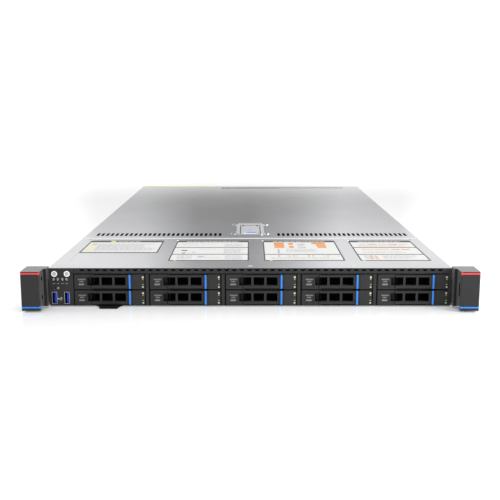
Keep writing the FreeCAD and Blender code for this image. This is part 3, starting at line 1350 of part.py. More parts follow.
def rear_panel():
    """Rear panel sheet left of the power supplies, its divider, slot brackets, ports and vent holes."""
    front = CHASSIS_DEPTH - PANEL_SHEET
    left = -WALL_INNER + 0.1
    sheet = block(left, PSU_BAY_LEFT, front, CHASSIS_DEPTH, FLOOR_SHEET, WALL_TOP)
    divider = block(
        PSU_BAY_LEFT - PANEL_SHEET, PSU_BAY_LEFT, CHASSIS_DEPTH - PSU_LENGTH, front, FLOOR_SHEET, WALL_TOP - 1
    )
    cuts = []
    pieces = [divider]
    for x in RJ45_CENTRES:
        pieces.append(
            port_shell(
                x, REAR_PORT_Z, RJ45_WIDTH, RJ45_HEIGHT, RJ45_CAVITY_WIDTH, RJ45_CAVITY_HEIGHT, RJ45_CAVITY_DEPTH
            )
        )
        cuts.append(
            block(
                x - RJ45_WIDTH / 2, x + RJ45_WIDTH / 2, front - 1, CHASSIS_DEPTH + 1, REAR_PORT_Z,
                REAR_PORT_Z + RJ45_HEIGHT,
            )
        )
    for x in REAR_USB_CENTRES:
        pieces.append(
            port_shell(
                x, REAR_PORT_Z, USB_WIDTH, USB_HEIGHT, USB_WIDTH - 2 * USB_SHELL, USB_HEIGHT - 2 * USB_SHELL,
                RJ45_CAVITY_DEPTH,
            )
        )
        cuts.append(
            block(
                x - USB_WIDTH / 2, x + USB_WIDTH / 2, front - 1, CHASSIS_DEPTH + 1, REAR_PORT_Z, REAR_PORT_Z + USB_HEIGHT
            )
        )
        pieces.append(
            block(
                x - USB_TONGUE / 2, x + USB_TONGUE / 2, CHASSIS_DEPTH - RJ45_CAVITY_DEPTH - 0.1, CHASSIS_DEPTH - 1,
                REAR_PORT_Z + PORT_TONGUE_MARGIN, REAR_PORT_Z + USB_HEIGHT - PORT_TONGUE_MARGIN,
            )
        )
    vga_low = REAR_PORT_Z + VGA_RISE
    vga_outline = [
        (VGA_CENTRE - VGA_WIDTH / 2 + VGA_SLANT, vga_low),
        (VGA_CENTRE + VGA_WIDTH / 2 - VGA_SLANT, vga_low),
        (VGA_CENTRE + VGA_WIDTH / 2, vga_low + VGA_HEIGHT),
        (VGA_CENTRE - VGA_WIDTH / 2, vga_low + VGA_HEIGHT),
    ]
    pieces.append(prism_back(vga_outline, front - VGA_DEPTH, CHASSIS_DEPTH + VGA_STANDOUT))
    cuts.append(prism_back(vga_outline, front - 1, CHASSIS_DEPTH + 1))
    for x0, x1 in SLOT_BRACKETS:
        cuts.append(
            block(
                x0 + BRACKET_MARGIN, x1 - BRACKET_MARGIN, front - 1, CHASSIS_DEPTH + 1, BRACKET_BOTTOM + BRACKET_FRAME,
                BRACKET_BOTTOM + BRACKET_HEIGHT - BRACKET_FRAME,
            )
        )
        bracket = block(x0, x1, front - BRACKET_SHEET, front, BRACKET_BOTTOM, BRACKET_BOTTOM + BRACKET_HEIGHT)
        holes = []
        for step in range(BRACKET_WINDOWS):
            middle = (x0 + x1) / 2 + (step - (BRACKET_WINDOWS - 1) / 2) * BRACKET_WINDOW_PITCH
            holes.append(
                block(
                    middle - BRACKET_WINDOW_HALF, middle + BRACKET_WINDOW_HALF, front - 3, front + 1,
                    BRACKET_BOTTOM + BRACKET_WINDOW_LOW, BRACKET_BOTTOM + BRACKET_WINDOW_HIGH,
                )
            )
        pieces.append(bracket.cut(holes))
    for index in range(PANEL_SLOTS):
        x = PANEL_SLOT_START + index * PANEL_SLOT_PITCH
        cuts.append(block(x, x + PANEL_SLOT_WIDTH, front - 1, CHASSIS_DEPTH + 1, PANEL_SLOT_BOTTOM, PANEL_SLOT_TOP))
    return [sheet.cut(cuts)] + pieces


save("chassis_tray", *chassis_tray())
save("information_tab", information_tab())
save("front_cover", *front_cover())
save("rear_cover", *rear_cover())
save("cover_latch_frame", cover_latch_frame())
save("cover_latch_lever", cover_latch_lever())
save("left_ear", *ear(False, True))
save("right_ear", *ear(True, False))
save("captive_screws", *captive_screws())
save("drive_cage", *vent_strip(), *drive_cage())
save("control_panel", *control_panel())
save("power_button", panel_button(POWER_X))
save("locator_button", panel_button(UID_X))
save("drive_backplane", backplane())
save("fan_frames", *[fan_frame(index) for index in range(FAN_COUNT)])
save("mainboard", mainboard())
save("memory_modules", *memory_modules())
save("heatsinks", heatsink(-1), heatsink(1))
save("rear_panel", *rear_panel())

for row in range(ROWS):
    for column in range(COLUMNS):
        bay = row * COLUMNS + column + 1
        left = column_left(column)
        bottom = row_bottom(row)
        save("drive_carrier_%02d" % bay, *carrier(left, bottom))
        save("carrier_lever_%02d" % bay, lever(left, bottom))
        save("carrier_button_%02d" % bay, *release_button(left, bottom))

for index in range(FAN_COUNT):
    save("fan_rotor_%d" % (index + 1), fan_rotor(index))

for number in (1, 2):
    save("power_supply_%d" % number, *power_supply(number))
    save("power_supply_latch_%d" % number, power_supply_latch(number))
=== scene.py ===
import math
import random

import bpy
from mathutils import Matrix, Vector


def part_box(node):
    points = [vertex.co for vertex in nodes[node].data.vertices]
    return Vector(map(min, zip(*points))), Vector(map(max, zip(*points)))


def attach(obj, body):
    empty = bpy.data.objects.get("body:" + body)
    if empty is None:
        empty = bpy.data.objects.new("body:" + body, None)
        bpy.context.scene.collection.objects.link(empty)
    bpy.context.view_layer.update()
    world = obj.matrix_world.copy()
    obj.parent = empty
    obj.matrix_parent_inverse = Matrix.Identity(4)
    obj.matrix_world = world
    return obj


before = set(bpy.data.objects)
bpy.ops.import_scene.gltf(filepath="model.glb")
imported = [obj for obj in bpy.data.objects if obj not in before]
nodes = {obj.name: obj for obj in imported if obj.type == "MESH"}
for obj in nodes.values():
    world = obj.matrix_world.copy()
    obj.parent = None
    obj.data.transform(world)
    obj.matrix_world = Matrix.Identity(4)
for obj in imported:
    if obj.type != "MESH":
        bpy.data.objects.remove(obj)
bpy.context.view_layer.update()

MM = 0.001

# Places read from the frame, in millimetres
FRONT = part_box("front_cover")[0].y / MM
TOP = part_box("rear_cover")[1].z / MM
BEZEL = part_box("drive_carrier_01")[0].y / MM - FRONT
VIDEO_STANDOUT = 1.0
CHASSIS_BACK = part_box("rear_panel")[1].y / MM - FRONT - VIDEO_STANDOUT
CARRIERS = ["%02d" % number for number in range(1, 11)]

# Photograph: a 500 pixel square, a pinhole fitted to the server's edges
PHOTO_SIZE = 500
FOCAL_PIXELS = 822.5
CENTRE_X_PIXEL = 250.3
CAMERA_AHEAD = 866.3
CAMERA_HEIGHT = 225.5
CAMERA_PITCH = 10.69

# Slack in which a face counts as lying in a dressed box, and depth of the perforated strip's face
FACE_SLACK = 0.02
STRIP_SKIN = 0.05

# Printed and painted layers
PRINT_LIFT = 0.03
LABEL_THICKNESS = 0.15
RECESS_DEPTH = 0.4
LABEL_FIELD_DEPTH = 0.4

# Inlays of the ears
STRIPE_GROOVE = 0.75
RED_LOW = 40.2
RED_HIGH = 42.7
BLUE_LOW = 3.9
BLUE_HIGH = 6.1
EAR_FACE_INNER = 222.6
EAR_FACE_OUTER = 239.9

# Drives behind the carriers, and the levers' windows and buttons' stripes from a carrier's left end
DRIVE_FRONT = 4.25
DRIVE_SKIN = 0.1
WINDOWS = ((21.8, 27.7), (30.1, 41.6), (44.1, 55.9))
WINDOWS_LEFT = WINDOWS[0][0]
WINDOWS_RIGHT = WINDOWS[-1][1]
WINDOWS_LOW = 4.2
WINDOWS_HIGH = 13.2
STRIPE_OFFSET = 59.0
STRIPE_WIDTH = 2.4

# USB sockets of the control panel
USB_CENTRES = (-211.4, -198.0)
USB_MIDDLE = 9.8
USB_WIDTH = 5.7
USB_HEIGHT = 13.1
USB_DEPTH = 14.0
SHELL_WALL = 0.4
SHELL_BEHIND = 0.2
TONGUE_WIDTH = 1.9
TONGUE_SHIFT = 0.9
TONGUE_BEHIND = 0.9
TONGUE_MARGIN = 1.0
SOCKET_SLACK = 0.05

# Ports of the rear panel
REAR_PORT_LOW = 8.2
PORT_CAVITY_DEPTH = 13.1
NETWORK_PORTS = (-44.0, -25.5, -7.0)
NETWORK_HALF = 5.9
NETWORK_LOW = REAR_PORT_LOW + 2.5
NETWORK_HIGH = REAR_PORT_LOW + 10.9
REAR_USB_PORTS = (10.0, 22.0)
REAR_TONGUE_MARGIN = 1.5
REAR_TONGUE_BEHIND = 1.0
VIDEO_PORT = 43.0
VIDEO_HALF = 8.5
VIDEO_LOW = REAR_PORT_LOW + 1.5
VIDEO_HIGH = REAR_PORT_LOW + 10.1

# Power supplies, from the left side of one: (left, right, low, high) of what its back face holds
REAR_FACE = CHASSIS_BACK + 1.5
INLET = (4.8, 29.2, 6.8, 23.2)
INLET_DEPTH = 15.0
INLET_PINS = (10.0, 17.0, 24.0)
PIN_HALF = 1.0
PIN_MARGIN = 0.2
PIN_ROOT = 0.5
PIN_SHORT = 2.0
GRILLE = (42.0, 71.0, 5.0, 38.0)
GRILLE_DEPTH = 4.0
GRILLE_SKIN = 0.1
LATCH_POCKET = (41.0, 48.8, 23.5, 36.5)
POCKET_DEPTH = 9.5
HANDLE = (34.8, 38.2, 6.0, 39.0)
RATING_LABEL = (5.0, 29.0, 26.5, 36.5)
SUPPLY_LAMP = (31.0, 33.0, 30.0, 32.0)


def place(x, d, z):
    """A point at x, at depth d behind the chassis front and at height z, from millimetres to metres."""
    return Vector((x * MM, (FRONT + d) * MM, z * MM))


def box_mm(node):
    """A node's lowest and highest corners as (x, d, z) in millimetres."""
    low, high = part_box(node)
    return (
        (low.x / MM, low.y / MM - FRONT, low.z / MM),
        (high.x / MM, high.y / MM - FRONT, high.z / MM),
    )


# Materials: grain as noise cells per metre along X, Y and Z, and its depth in metres
BRUSH_CELLS = (6.0, 1600.0, 1600.0)
PATCH_CELLS = (14.0, 10.0, 14.0)
PORE_CELLS = (2600.0, 2600.0, 2600.0)
CLOUD_CELLS = (35.0, 35.0, 35.0)
FIBRE_CELLS = (900.0, 900.0, 900.0)
TRACKS_ALONG = (420.0, 30.0, 420.0)
TRACKS_ACROSS = (30.0, 420.0, 420.0)
FLOOR_CELLS = (3.0, 3.0, 3.0)
BRUSH_DEPTH = 0.00004
GRAIN_DEPTH = 0.00005


def new_material(name, colour, roughness, metallic=0.0):
    material = bpy.data.materials.new(name)
    material.use_nodes = True
    shader = material.node_tree.nodes["Principled BSDF"]
    shader.inputs["Base Color"].default_value = (*colour, 1.0)
    shader.inputs["Roughness"].default_value = roughness
    shader.inputs["Metallic"].default_value = metallic
    return material


def set_specular(material, level):
    material.node_tree.nodes["Principled BSDF"].inputs["Specular IOR Level"].default_value = level


def uneven(colour, share):
    """Stops from a darker share of a colour to the colour itself."""
    return [(0.35, tuple(channel * share for channel in colour)), (0.65, colour)]


def add_sheen(material, weight):
    """Fine dust and grain that light a plastic up at flat angles."""
    shader = material.node_tree.nodes["Principled BSDF"]
    shader.inputs["Sheen Weight"].default_value = weight
    shader.inputs["Sheen Roughness"].default_value = 0.35
    return material


def scaled_coordinates(material, scale):
    tree = material.node_tree
    coordinates = tree.nodes.new("ShaderNodeTexCoord")
    mapping = tree.nodes.new("ShaderNodeMapping")
    mapping.inputs["Scale"].default_value = scale
    tree.links.new(coordinates.outputs["Object"], mapping.inputs["Vector"])
    return mapping.outputs["Vector"]


def noise(material, scale, detail=2.0):
    """Noise with its own cell count per metre along each axis."""
    texture = material.node_tree.nodes.new("ShaderNodeTexNoise")
    texture.inputs["Scale"].default_value = 1.0
    texture.inputs["Detail"].default_value = detail
    material.node_tree.links.new(scaled_coordinates(material, scale), texture.inputs["Vector"])
    return texture.outputs["Fac"]


def ramp(material, factor, stops):
    """A colour ramp over factor; stops are (position, colour)."""
    node = material.node_tree.nodes.new("ShaderNodeValToRGB")
    material.node_tree.links.new(factor, node.inputs["Fac"])
    elements = node.color_ramp.elements
    while len(elements) < len(stops):
        elements.new(0.5)
    for element, (position, colour) in zip(elements, stops):
        element.position = position
        element.color = (*colour, 1.0)
    return node.outputs["Color"]


def vary_colour(material, factor, stops):
    shader = material.node_tree.nodes["Principled BSDF"]
    material.node_tree.links.new(ramp(material, factor, stops), shader.inputs["Base Color"])


def vary_roughness(material, factor, low, high):
    shader = material.node_tree.nodes["Principled BSDF"]
    spread = material.node_tree.nodes.new("ShaderNodeMapRange")
    spread.inputs["To Min"].default_value = low
    spread.inputs["To Max"].default_value = high
    material.node_tree.links.new(factor, spread.inputs["Value"])
    material.node_tree.links.new(spread.outputs["Result"], shader.inputs["Roughness"])


def add_bump(material, factor, strength, distance):
    shader = material.node_tree.nodes["Principled BSDF"]
    bump = material.node_tree.nodes.new("ShaderNodeBump")
    bump.inputs["Strength"].default_value = strength
    bump.inputs["Distance"].default_value = distance
    material.node_tree.links.new(factor, bump.inputs["Height"])
    material.node_tree.links.new(bump.outputs["Normal"], shader.inputs["Normal"])


def brushed_steel(name, dark, light, roughness, grain=0.12):
    """Galvanised sheet with fine lines across the server's width and faint cloudy patches."""
    material = new_material(name, light, roughness, 1.0)
    lines = noise(material, BRUSH_CELLS, 3.0)
    patches = noise(material, PATCH_CELLS, 3.0)
    vary_colour(material, patches, [(0.3, dark), (0.7, light)])
    vary_roughness(material, lines, roughness - 0.04, roughness + 0.06)
    add_bump(material, lines, grain, BRUSH_DEPTH)
    return material


def moulded_plastic(name, colour, roughness, specular=0.3):
    """Plastic with the fine spark grain of a mould and a slight change of gloss."""
    material = new_material(name, colour, roughness)
    pores = noise(material, PORE_CELLS)
    cloud = noise(material, CLOUD_CELLS)
    set_specular(material, specular)
    vary_colour(material, cloud, uneven(colour, 0.88))
    vary_roughness(material, pores, roughness - 0.05, roughness + 0.08)
    add_bump(material, pores, 0.18, GRAIN_DEPTH)
    return material


def printed(name, colour):
    """Ink or a coated label with a slight unevenness."""
    material = new_material(name, colour, 0.6)
    set_specular(material, 0.12)
    vary_colour(material, noise(material, FIBRE_CELLS), uneven(colour, 0.94))
    return material


def glowing(material, colour, strength):
    """Adds emission: a lamp's own light, an even glow of the floor, or painted light that lets a surface
    which is no lamp keep its colour in the shade.
    """
    shader = material.node_tree.nodes["Principled BSDF"]
    shader.inputs["Emission Color"].default_value = (*colour, 1.0)
    shader.inputs["Emission Strength"].default_value = strength
    return material


def lamp(name, colour, strength):
    """A small indicator light behind a clear lens; on white ink the same glow is painted light."""
    material = glowing(printed(name, colour), colour, strength)
    material.node_tree.nodes["Principled BSDF"].inputs["Coat Weight"].default_value = 0.6
    return material


def circuit_board(name):
    """Solder mask with copper tracks that run along both axes."""
    material = new_material(name, (0.01, 0.09, 0.05), 0.35)
    along = noise(material, TRACKS_ALONG, 1.0)
    across = noise(material, TRACKS_ACROSS, 1.0)
    tree = material.node_tree
    mix = tree.nodes.new("ShaderNodeMath")
    mix.operation = "MULTIPLY"
    tree.links.new(along, mix.inputs[0])
    tree.links.new(across, mix.inputs[1])
    vary_colour(
        material,
        mix.outputs["Value"],
        [(0.22, (0.006, 0.055, 0.03)), (0.27, (0.02, 0.15, 0.08)), (0.33, (0.012, 0.09, 0.05))],
    )
    add_bump(material, mix.outputs["Value"], 0.2, GRAIN_DEPTH)
    return material


def metals():
    return {
        "cover": brushed_steel("cover_steel", (0.73, 0.735, 0.75), (0.79, 0.795, 0.81), 0.08, grain=0.05),
        "tray": brushed_steel("tray_steel", (0.57, 0.58, 0.59), (0.65, 0.66, 0.67), 0.24),
        "latch": brushed_steel("latch_steel", (0.60, 0.61, 0.62), (0.68, 0.69, 0.70), 0.38),
        "screw": brushed_steel("screw_steel", (0.55, 0.55, 0.56), (0.66, 0.66, 0.67), 0.28),
        "aluminium": brushed_steel("aluminium", (0.72, 0.73, 0.75), (0.80, 0.81, 0.83), 0.30),
        "drive": brushed_steel("drive_case", (0.50, 0.51, 0.52), (0.62, 0.63, 0.64), 0.34),
        "bead": brushed_steel("bead_steel", (0.74, 0.75, 0.76), (0.80, 0.81, 0.82), 0.30),
    }


def plastics():
    """Moulded and painted surfaces, and the black of deep shadow."""
    return {
        "ear": moulded_plastic("ear_plastic", (0.018, 0.018, 0.019), 0.26, specular=0.40),
        "carrier": moulded_plastic("carrier_plastic", (0.030, 0.030, 0.031), 0.50),
        "cage": moulded_plastic("cage_paint", (0.012, 0.013, 0.014), 0.50),
        "black": moulded_plastic("black_plastic", (0.004, 0.004, 0.005), 0.60),
        "strip": moulded_plastic("strip_paint", (0.028, 0.029, 0.031), 0.50),
        "fan": moulded_plastic("fan_plastic", (0.012, 0.012, 0.013), 0.45),
        "button": moulded_plastic("button_plastic", (0.10, 0.10, 0.11), 0.40),
        "release": moulded_plastic("release_plastic", (0.10, 0.035, 0.24), 0.40),
        "edge line": moulded_plastic("edge_line", (0.008, 0.014, 0.015), 0.5),
        "void": moulded_plastic("deep_shadow", (0.0015, 0.0015, 0.0015), 0.9, specular=0.04),
    }


def inlays_with_painted_glow():
    """Inlays and a printed strip with painted light: a glow that keeps them bright in the shade, though
    none is a lamp; each has the plastic, the colour and the strength of its glow.
    """
    red = moulded_plastic("red_inlay", (0.90, 0.055, 0.065), 0.38)
    blue = moulded_plastic("blue_inlay", (0.035, 0.235, 0.800), 0.38)
    usb_blue = moulded_plastic("usb_blue", (0.010, 0.045, 0.620), 0.35)
    strip_yellow = printed("strip_yellow", (0.70, 0.64, 0.01))
    return {
        "red": glowing(red, (1.0, 0.05, 0.06), 0.2),
        "blue": glowing(blue, (0.04, 0.28, 1.0), 0.2),
        "usb blue": glowing(usb_blue, (0.01, 0.04, 0.7), 0.2),
        "strip yellow": glowing(strip_yellow, (0.9, 0.80, 0.01), 0.12),
    }


def inks():
    return {
        "paper": printed("label_paper", (0.70, 0.70, 0.69)),
        "ink": printed("label_ink", (0.085, 0.085, 0.09)),
        "grey ink": printed("grey_ink", (0.36, 0.36, 0.37)),
        "pale ink": printed("pale_ink", (0.60, 0.60, 0.61)),
        "fine ink": printed("fine_ink", (0.44, 0.44, 0.45)),
        "text ink": printed("text_ink", (0.26, 0.26, 0.26)),
        "white ink": printed("white_ink", (0.72, 0.72, 0.72)),
        "orange ink": printed("orange_ink", (0.74, 0.28, 0.06)),
        "pale orange ink": printed("pale_orange_ink", (0.72, 0.47, 0.30)),
        "yellow ink": printed("yellow_ink", (0.78, 0.76, 0.16)),
        "blue ink": printed("blue_ink", (0.25, 0.34, 0.72)),
        "latch blue": printed("latch_blue", (0.10, 0.19, 0.80)),
    }


def lamps():
    return {
        # Not a lamp: white ink whose glow is painted light, for the buttons' marks and the painted
        # highlight in front of the latch mark
        "bright ink": lamp("white_ink_painted_light", (0.85, 0.85, 0.85), 0.25),
        "amber lamp": lamp("amber_lamp", (0.48, 0.30, 0.02), 0.12),
        "green lamp": lamp("green_lamp", (0.16, 0.34, 0.02), 0.15),
    }


paint = {
    **metals(),
    **plastics(),
    **inlays_with_painted_glow(),
    **inks(),
    **lamps(),
    "board": circuit_board("circuit_board"),
}
add_sheen(paint["ear"], 0.3)


def dress(node, key):
    """Gives a whole node one material."""
    mesh = nodes[node].data
    mesh.materials.clear()
    mesh.materials.append(paint[key])
    for polygon in mesh.polygons:
        polygon.material_index = 0


def dress_inside(node, key, low, high):
    """Gives a material to the faces of a node that lie wholly in a box of (x, d, z) corners."""
    mesh = nodes[node].data
    mesh.materials.append(paint[key])
    index = len(mesh.materials) - 1
    slack = FACE_SLACK * MM
    least = place(*low)
    most = place(*high)
    inside = [
        all(least[axis] - slack <= vertex.co[axis] <= most[axis] + slack for axis in range(3))
        for vertex in mesh.vertices
    ]
    for polygon in mesh.polygons:
        if all(inside[vertex] for vertex in polygon.vertices):
            polygon.material_index = index


# Pieces that this script adds: flat shapes, gathered in one mesh each


def ring_steps(x, y, inner, outer, start, sweep, sides):
    """The corners of each step along a ring round (x, y), in the ring's own plane."""
    for step in range(sides):
        a = math.radians(start + sweep * step / sides)
        b = math.radians(start + sweep * (step + 1) / sides)
        yield [
            (x + radius * math.cos(angle), y + radius * math.sin(angle))
            for radius, angle in ((inner, a), (outer, a), (outer, b), (inner, b))
        ]


class Prints:
    """Collects thin shapes with their materials and makes one object of them."""

    def __init__(self, name, body):
        self.name = name
        self.body = body
        self.vertices = []
        self.faces = []
        self.keys = []

    def shape(self, corners, key):
        start = len(self.vertices)
        self.vertices.extend(corners)
        self.faces.append(list(range(start, start + len(corners))))
        self.keys.append(key)

    def flat(self, x0, x1, d0, d1, z, key):
        """A rectangle that lies at height z."""
        self.shape([place(x0, d0, z), place(x1, d0, z), place(x1, d1, z), place(x0, d1, z)], key)

    def upright(self, x0, x1, z0, z1, d, key):
        """A rectangle that stands at depth d and looks to the front."""
        self.shape([place(x0, d, z0), place(x1, d, z0), place(x1, d, z1), place(x0, d, z1)], key)

    def upright_back(self, x0, x1, z0, z1, d, key):
        """A rectangle that stands at depth d and looks to the back."""
        self.shape([place(x1, d, z0), place(x0, d, z0), place(x0, d, z1), place(x1, d, z1)], key)

    def sheet(self, x0, x1, d0, d1, z0, z1, key):
        """A thin block."""
        points = [place(x, d, z) for z in (z0, z1) for x, d in ((x0, d0), (x1, d0), (x1, d1), (x0, d1))]
        start = len(self.vertices)
        self.vertices.extend(points)
        for face in ((3, 2, 1, 0), (4, 5, 6, 7), (0, 1, 5, 4), (1, 2, 6, 5), (2, 3, 7, 6), (3, 0, 4, 7)):
            self.faces.append([start + corner for corner in face])
            self.keys.append(key)

    def disc_front(self, x, z, radius, d, key, sides=24):
        """A disc that looks to the front."""
        angles = [2 * math.pi * step / sides for step in range(sides)]
        self.shape([place(x + radius * math.cos(a), d, z + radius * math.sin(a)) for a in angles], key)

    def ring_front(self, x, z, inner, outer, d, key, start=0.0, sweep=360.0, sides=24):
        """A ring, or a part of one, that looks to the front; angles in degrees from +X."""
        for corners in ring_steps(x, z, inner, outer, start, sweep, sides):
            self.shape([place(across, d, up) for across, up in corners], key)

    def ring_flat(self, x, depth, inner, outer, z, key, sides=24):
        """A whole ring that lies at height z."""
        for corners in ring_steps(x, depth, inner, outer, 0.0, 360.0, sides):
            self.shape([place(across, back, z) for across, back in corners], key)

    def finish(self):
        mesh = bpy.data.meshes.new(self.name)
        mesh.from_pydata([tuple(vertex) for vertex in self.vertices], [], self.faces)
        keys = sorted(set(self.keys))
        for key in keys:
            mesh.materials.append(paint[key])
        for polygon, key in zip(mesh.polygons, self.keys):
            polygon.material_index = keys.index(key)
        piece = bpy.data.objects.new(self.name, mesh)
        bpy.context.scene.collection.objects.link(piece)
        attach(piece, self.body)
        return piece


TEXT_BAR_HEIGHT = 0.42
TEXT_BAR_LEAST = 2.0
TEXT_BAR_SPREAD = 5.0
TEXT_GAP = 1.2


def text_lines(prints, x0, x1, d0, d1, z, pitch, key, seed, fill=0.75):
    """Rows of short bars that stand for small generic print."""
    chance = random.Random(seed)
    d = d1 - pitch
    while d > d0:
        x = x0
        end = x0 + (x1 - x0) * (fill + (1 - fill) * chance.random())
        while x < end:
            width = min(TEXT_BAR_LEAST + TEXT_BAR_SPREAD * chance.random(), end - x)
            prints.flat(x, x + width, d, d + pitch * TEXT_BAR_HEIGHT, z, key)
            x += width + TEXT_GAP
        d -= pitch


def dress_inlays(node):
    """Red at the top and blue at the bottom of an ear, in their shallow grooves."""
    low, high = box_mm(node)
    groove_back = low[1] + STRIPE_GROOVE
    dress_inside(node, "red", (low[0], low[1], RED_LOW), (high[0], groove_back, RED_HIGH))
    dress_inside(node, "blue", (low[0], low[1], BLUE_LOW), (high[0], groove_back, BLUE_HIGH))


def dress_drive(number):
    """The drive behind the carrier's front is a metal case with its front face painted black as shade, the
    window walls are painted black as shade too, and its button has a blue stripe.
    """
    node = "drive_carrier_" + number
    low, high = box_mm(node)
    dress_inside(node, "drive", (low[0], DRIVE_FRONT, low[2]), high)
    # Painted shade: the drive's front face and the walls of the windows in the carrier and the lever are
    # black, for the dark inside seen through the windows
    dress_inside(node, "void", (low[0], DRIVE_FRONT, low[2]), (high[0], DRIVE_FRONT + DRIVE_SKIN, high[2]))
    dress_inside(
        node, "void", (low[0] + WINDOWS_LEFT, BEZEL, low[2] + WINDOWS_LOW),
        (low[0] + WINDOWS_RIGHT, DRIVE_FRONT, low[2] + WINDOWS_HIGH),
    )
    for left, right in WINDOWS:
        dress_inside(
            "carrier_lever_" + number, "void", (low[0] + left, BEZEL, low[2] + WINDOWS_LOW),
            (low[0] + right, DRIVE_FRONT, low[2] + WINDOWS_HIGH),
        )
    button = "carrier_button_" + number
    button_low, button_high = box_mm(button)
    stripe_left = low[0] + STRIPE_OFFSET
    dress_inside(
        button, "blue", (stripe_left, button_low[1], button_low[2]),
        (stripe_left + STRIPE_WIDTH, button_high[1], button_high[2]),
    )


def dress_sockets():
    """The two USB sockets of the control panel: metal shells and blue tongues."""
    half = USB_WIDTH / 2 - SOCKET_SLACK
    low = USB_MIDDLE - USB_HEIGHT / 2 + SOCKET_SLACK
    high = USB_MIDDLE + USB_HEIGHT / 2 - SOCKET_SLACK
    wall = SHELL_WALL - SOCKET_SLACK
    mouth = BEZEL + SHELL_BEHIND
    for x in USB_CENTRES:
        dress_inside("control_panel", "screw", (x - half, mouth, low), (x + half, USB_DEPTH, high))
        dress_inside(
            "control_panel", "black", (x - half + wall, mouth, low + wall),
            (x + half - wall, USB_DEPTH, high - wall),
        )
        tongue = x + TONGUE_SHIFT
        dress_inside(
            "control_panel", "usb blue",
            (tongue - TONGUE_WIDTH / 2, BEZEL + TONGUE_BEHIND, low + TONGUE_MARGIN),
            (tongue + TONGUE_WIDTH / 2, USB_DEPTH, high - TONGUE_MARGIN),
        )


def dress_area(node, key, area, front, back):
    """Dresses an area (left, right, low, high) between two depths, seen from the node's left side."""
    start = box_mm(node)[0][0]
    left, right, low, high = area
    dress_inside(node, key, (start + left, front, low), (start + right, back, high))


def dress_power_supply(number):
    """Dark inlet with metal pins, dark fan grille and latch pocket, and a grey handle loop."""
    node = "power_supply_%d" % number
    dress(node, "tray")
    dress_area(node, "black", INLET, REAR_FACE - INLET_DEPTH, REAR_FACE)
    for pin in INLET_PINS:
        area = (pin - PIN_HALF, pin + PIN_HALF, INLET[2] + PIN_MARGIN, INLET[3] - PIN_MARGIN)
        dress_area(node, "screw", area, REAR_FACE - INLET_DEPTH - PIN_ROOT, REAR_FACE - PIN_SHORT)
    dress_area(node, "black", GRILLE, REAR_FACE - GRILLE_DEPTH, REAR_FACE - GRILLE_SKIN)
    dress_area(node, "black", LATCH_POCKET, REAR_FACE - POCKET_DEPTH, REAR_FACE)
    dress_area(node, "button", HANDLE, REAR_FACE, box_mm(node)[1][1])
    dress("power_supply_latch_%d" % number, "release")


def dress_ports():
    """Dark mouths of the network and USB ports at the back, blue tongues and a blue video port."""
    front = CHASSIS_BACK - PORT_CAVITY_DEPTH
    for x in NETWORK_PORTS:
        dress_inside(
            "rear_panel", "black", (x - NETWORK_HALF, front, NETWORK_LOW),
            (x + NETWORK_HALF, CHASSIS_BACK, NETWORK_HIGH),
        )
    high = REAR_PORT_LOW + USB_HEIGHT
    half = USB_WIDTH / 2 - SHELL_WALL
    for x in REAR_USB_PORTS:
        dress_inside(
            "rear_panel", "black", (x - half, front, REAR_PORT_LOW + SHELL_WALL),
            (x + half, CHASSIS_BACK, high - SHELL_WALL),
        )
        dress_inside(
            "rear_panel", "usb blue", (x - TONGUE_WIDTH / 2, front, REAR_PORT_LOW + REAR_TONGUE_MARGIN),
            (x + TONGUE_WIDTH / 2, CHASSIS_BACK - REAR_TONGUE_BEHIND, high - REAR_TONGUE_MARGIN),
        )
    dress_inside(
        "rear_panel", "usb blue", (VIDEO_PORT - VIDEO_HALF, CHASSIS_BACK, VIDEO_LOW),
        (VIDEO_PORT + VIDEO_HALF, CHASSIS_BACK + VIDEO_STANDOUT, VIDEO_HIGH),
    )


def dress_nodes():
    """One material for every node, and then the areas that have their own."""
    for node in ("front_cover", "rear_cover"):
        dress(node, "cover")
    for node in ("cover_latch_frame", "cover_latch_lever"):
        dress(node, "latch")
    for node in ("chassis_tray", "rear_panel"):
        dress(node, "tray")
    dress("captive_screws", "screw")
    dress("information_tab", "black")
    dress("drive_cage", "cage")
    cage_low, cage_high = box_mm("drive_cage")
    dress_inside("drive_cage", "strip", cage_low, (cage_high[0], STRIP_SKIN, cage_high[2]))
    dress("control_panel", "carrier")
    dress_sockets()
    for node in ("left_ear", "right_ear"):
        dress(node, "ear")
        dress_inlays(node)
    dress("fan_frames", "fan")
    for node in ("drive_backplane", "mainboard", "memory_modules"):
        dress(node, "board")
    dress("heatsinks", "aluminium")
    for node in ("power_button", "locator_button"):
        dress(node, "button")
    for number in CARRIERS:
        dress("drive_carrier_" + number, "carrier")
        dress("carrier_lever_" + number, "carrier")
        dress("carrier_button_" + number, "carrier")
        dress_drive(number)
    for number in range(1, 8):
        dress("fan_rotor_%d" % number, "black")
    dress_ports()
    for number in (1, 2):
        dress_power_supply(number)


dress_nodes()


# Prints on the front cover's labels: left, right, front and back edge of each sheet
SHEET_EDGES = {
    "first": (-201.7, -109.3, 84.0, 164.5),
    "second": (-92.4, -1.5, 37.0, 164.5),
    "third": (15.7, 106.6, 37.0, 164.5),
    "fourth": (124.0, 203.0, 37.0, 164.5),
}
HEADER_DEPTH = 154.4
SIDE_BORDER = 1.5
FRONT_BORDER = 4.0
RULE_WIDTH = 3.6
HEADER_PITCH = 8.0
TEXT_PITCH = 4.2
SHEET_TOP = TOP - RECESS_DEPTH + LABEL_THICKNESS

# Divisions of the sheets, and where their headers have text
SHEET_RULES = {"first": (), "second": (118.7, 75.1), "third": (74.4,), "fourth": (118.7, 74.4)}
HEADER_TEXT = {
    "first": (-166.9, -138.7), "second": (-79.7, -14.6), "third": (28.6, 93.6), "fourth": (136.3, 189.6)
}

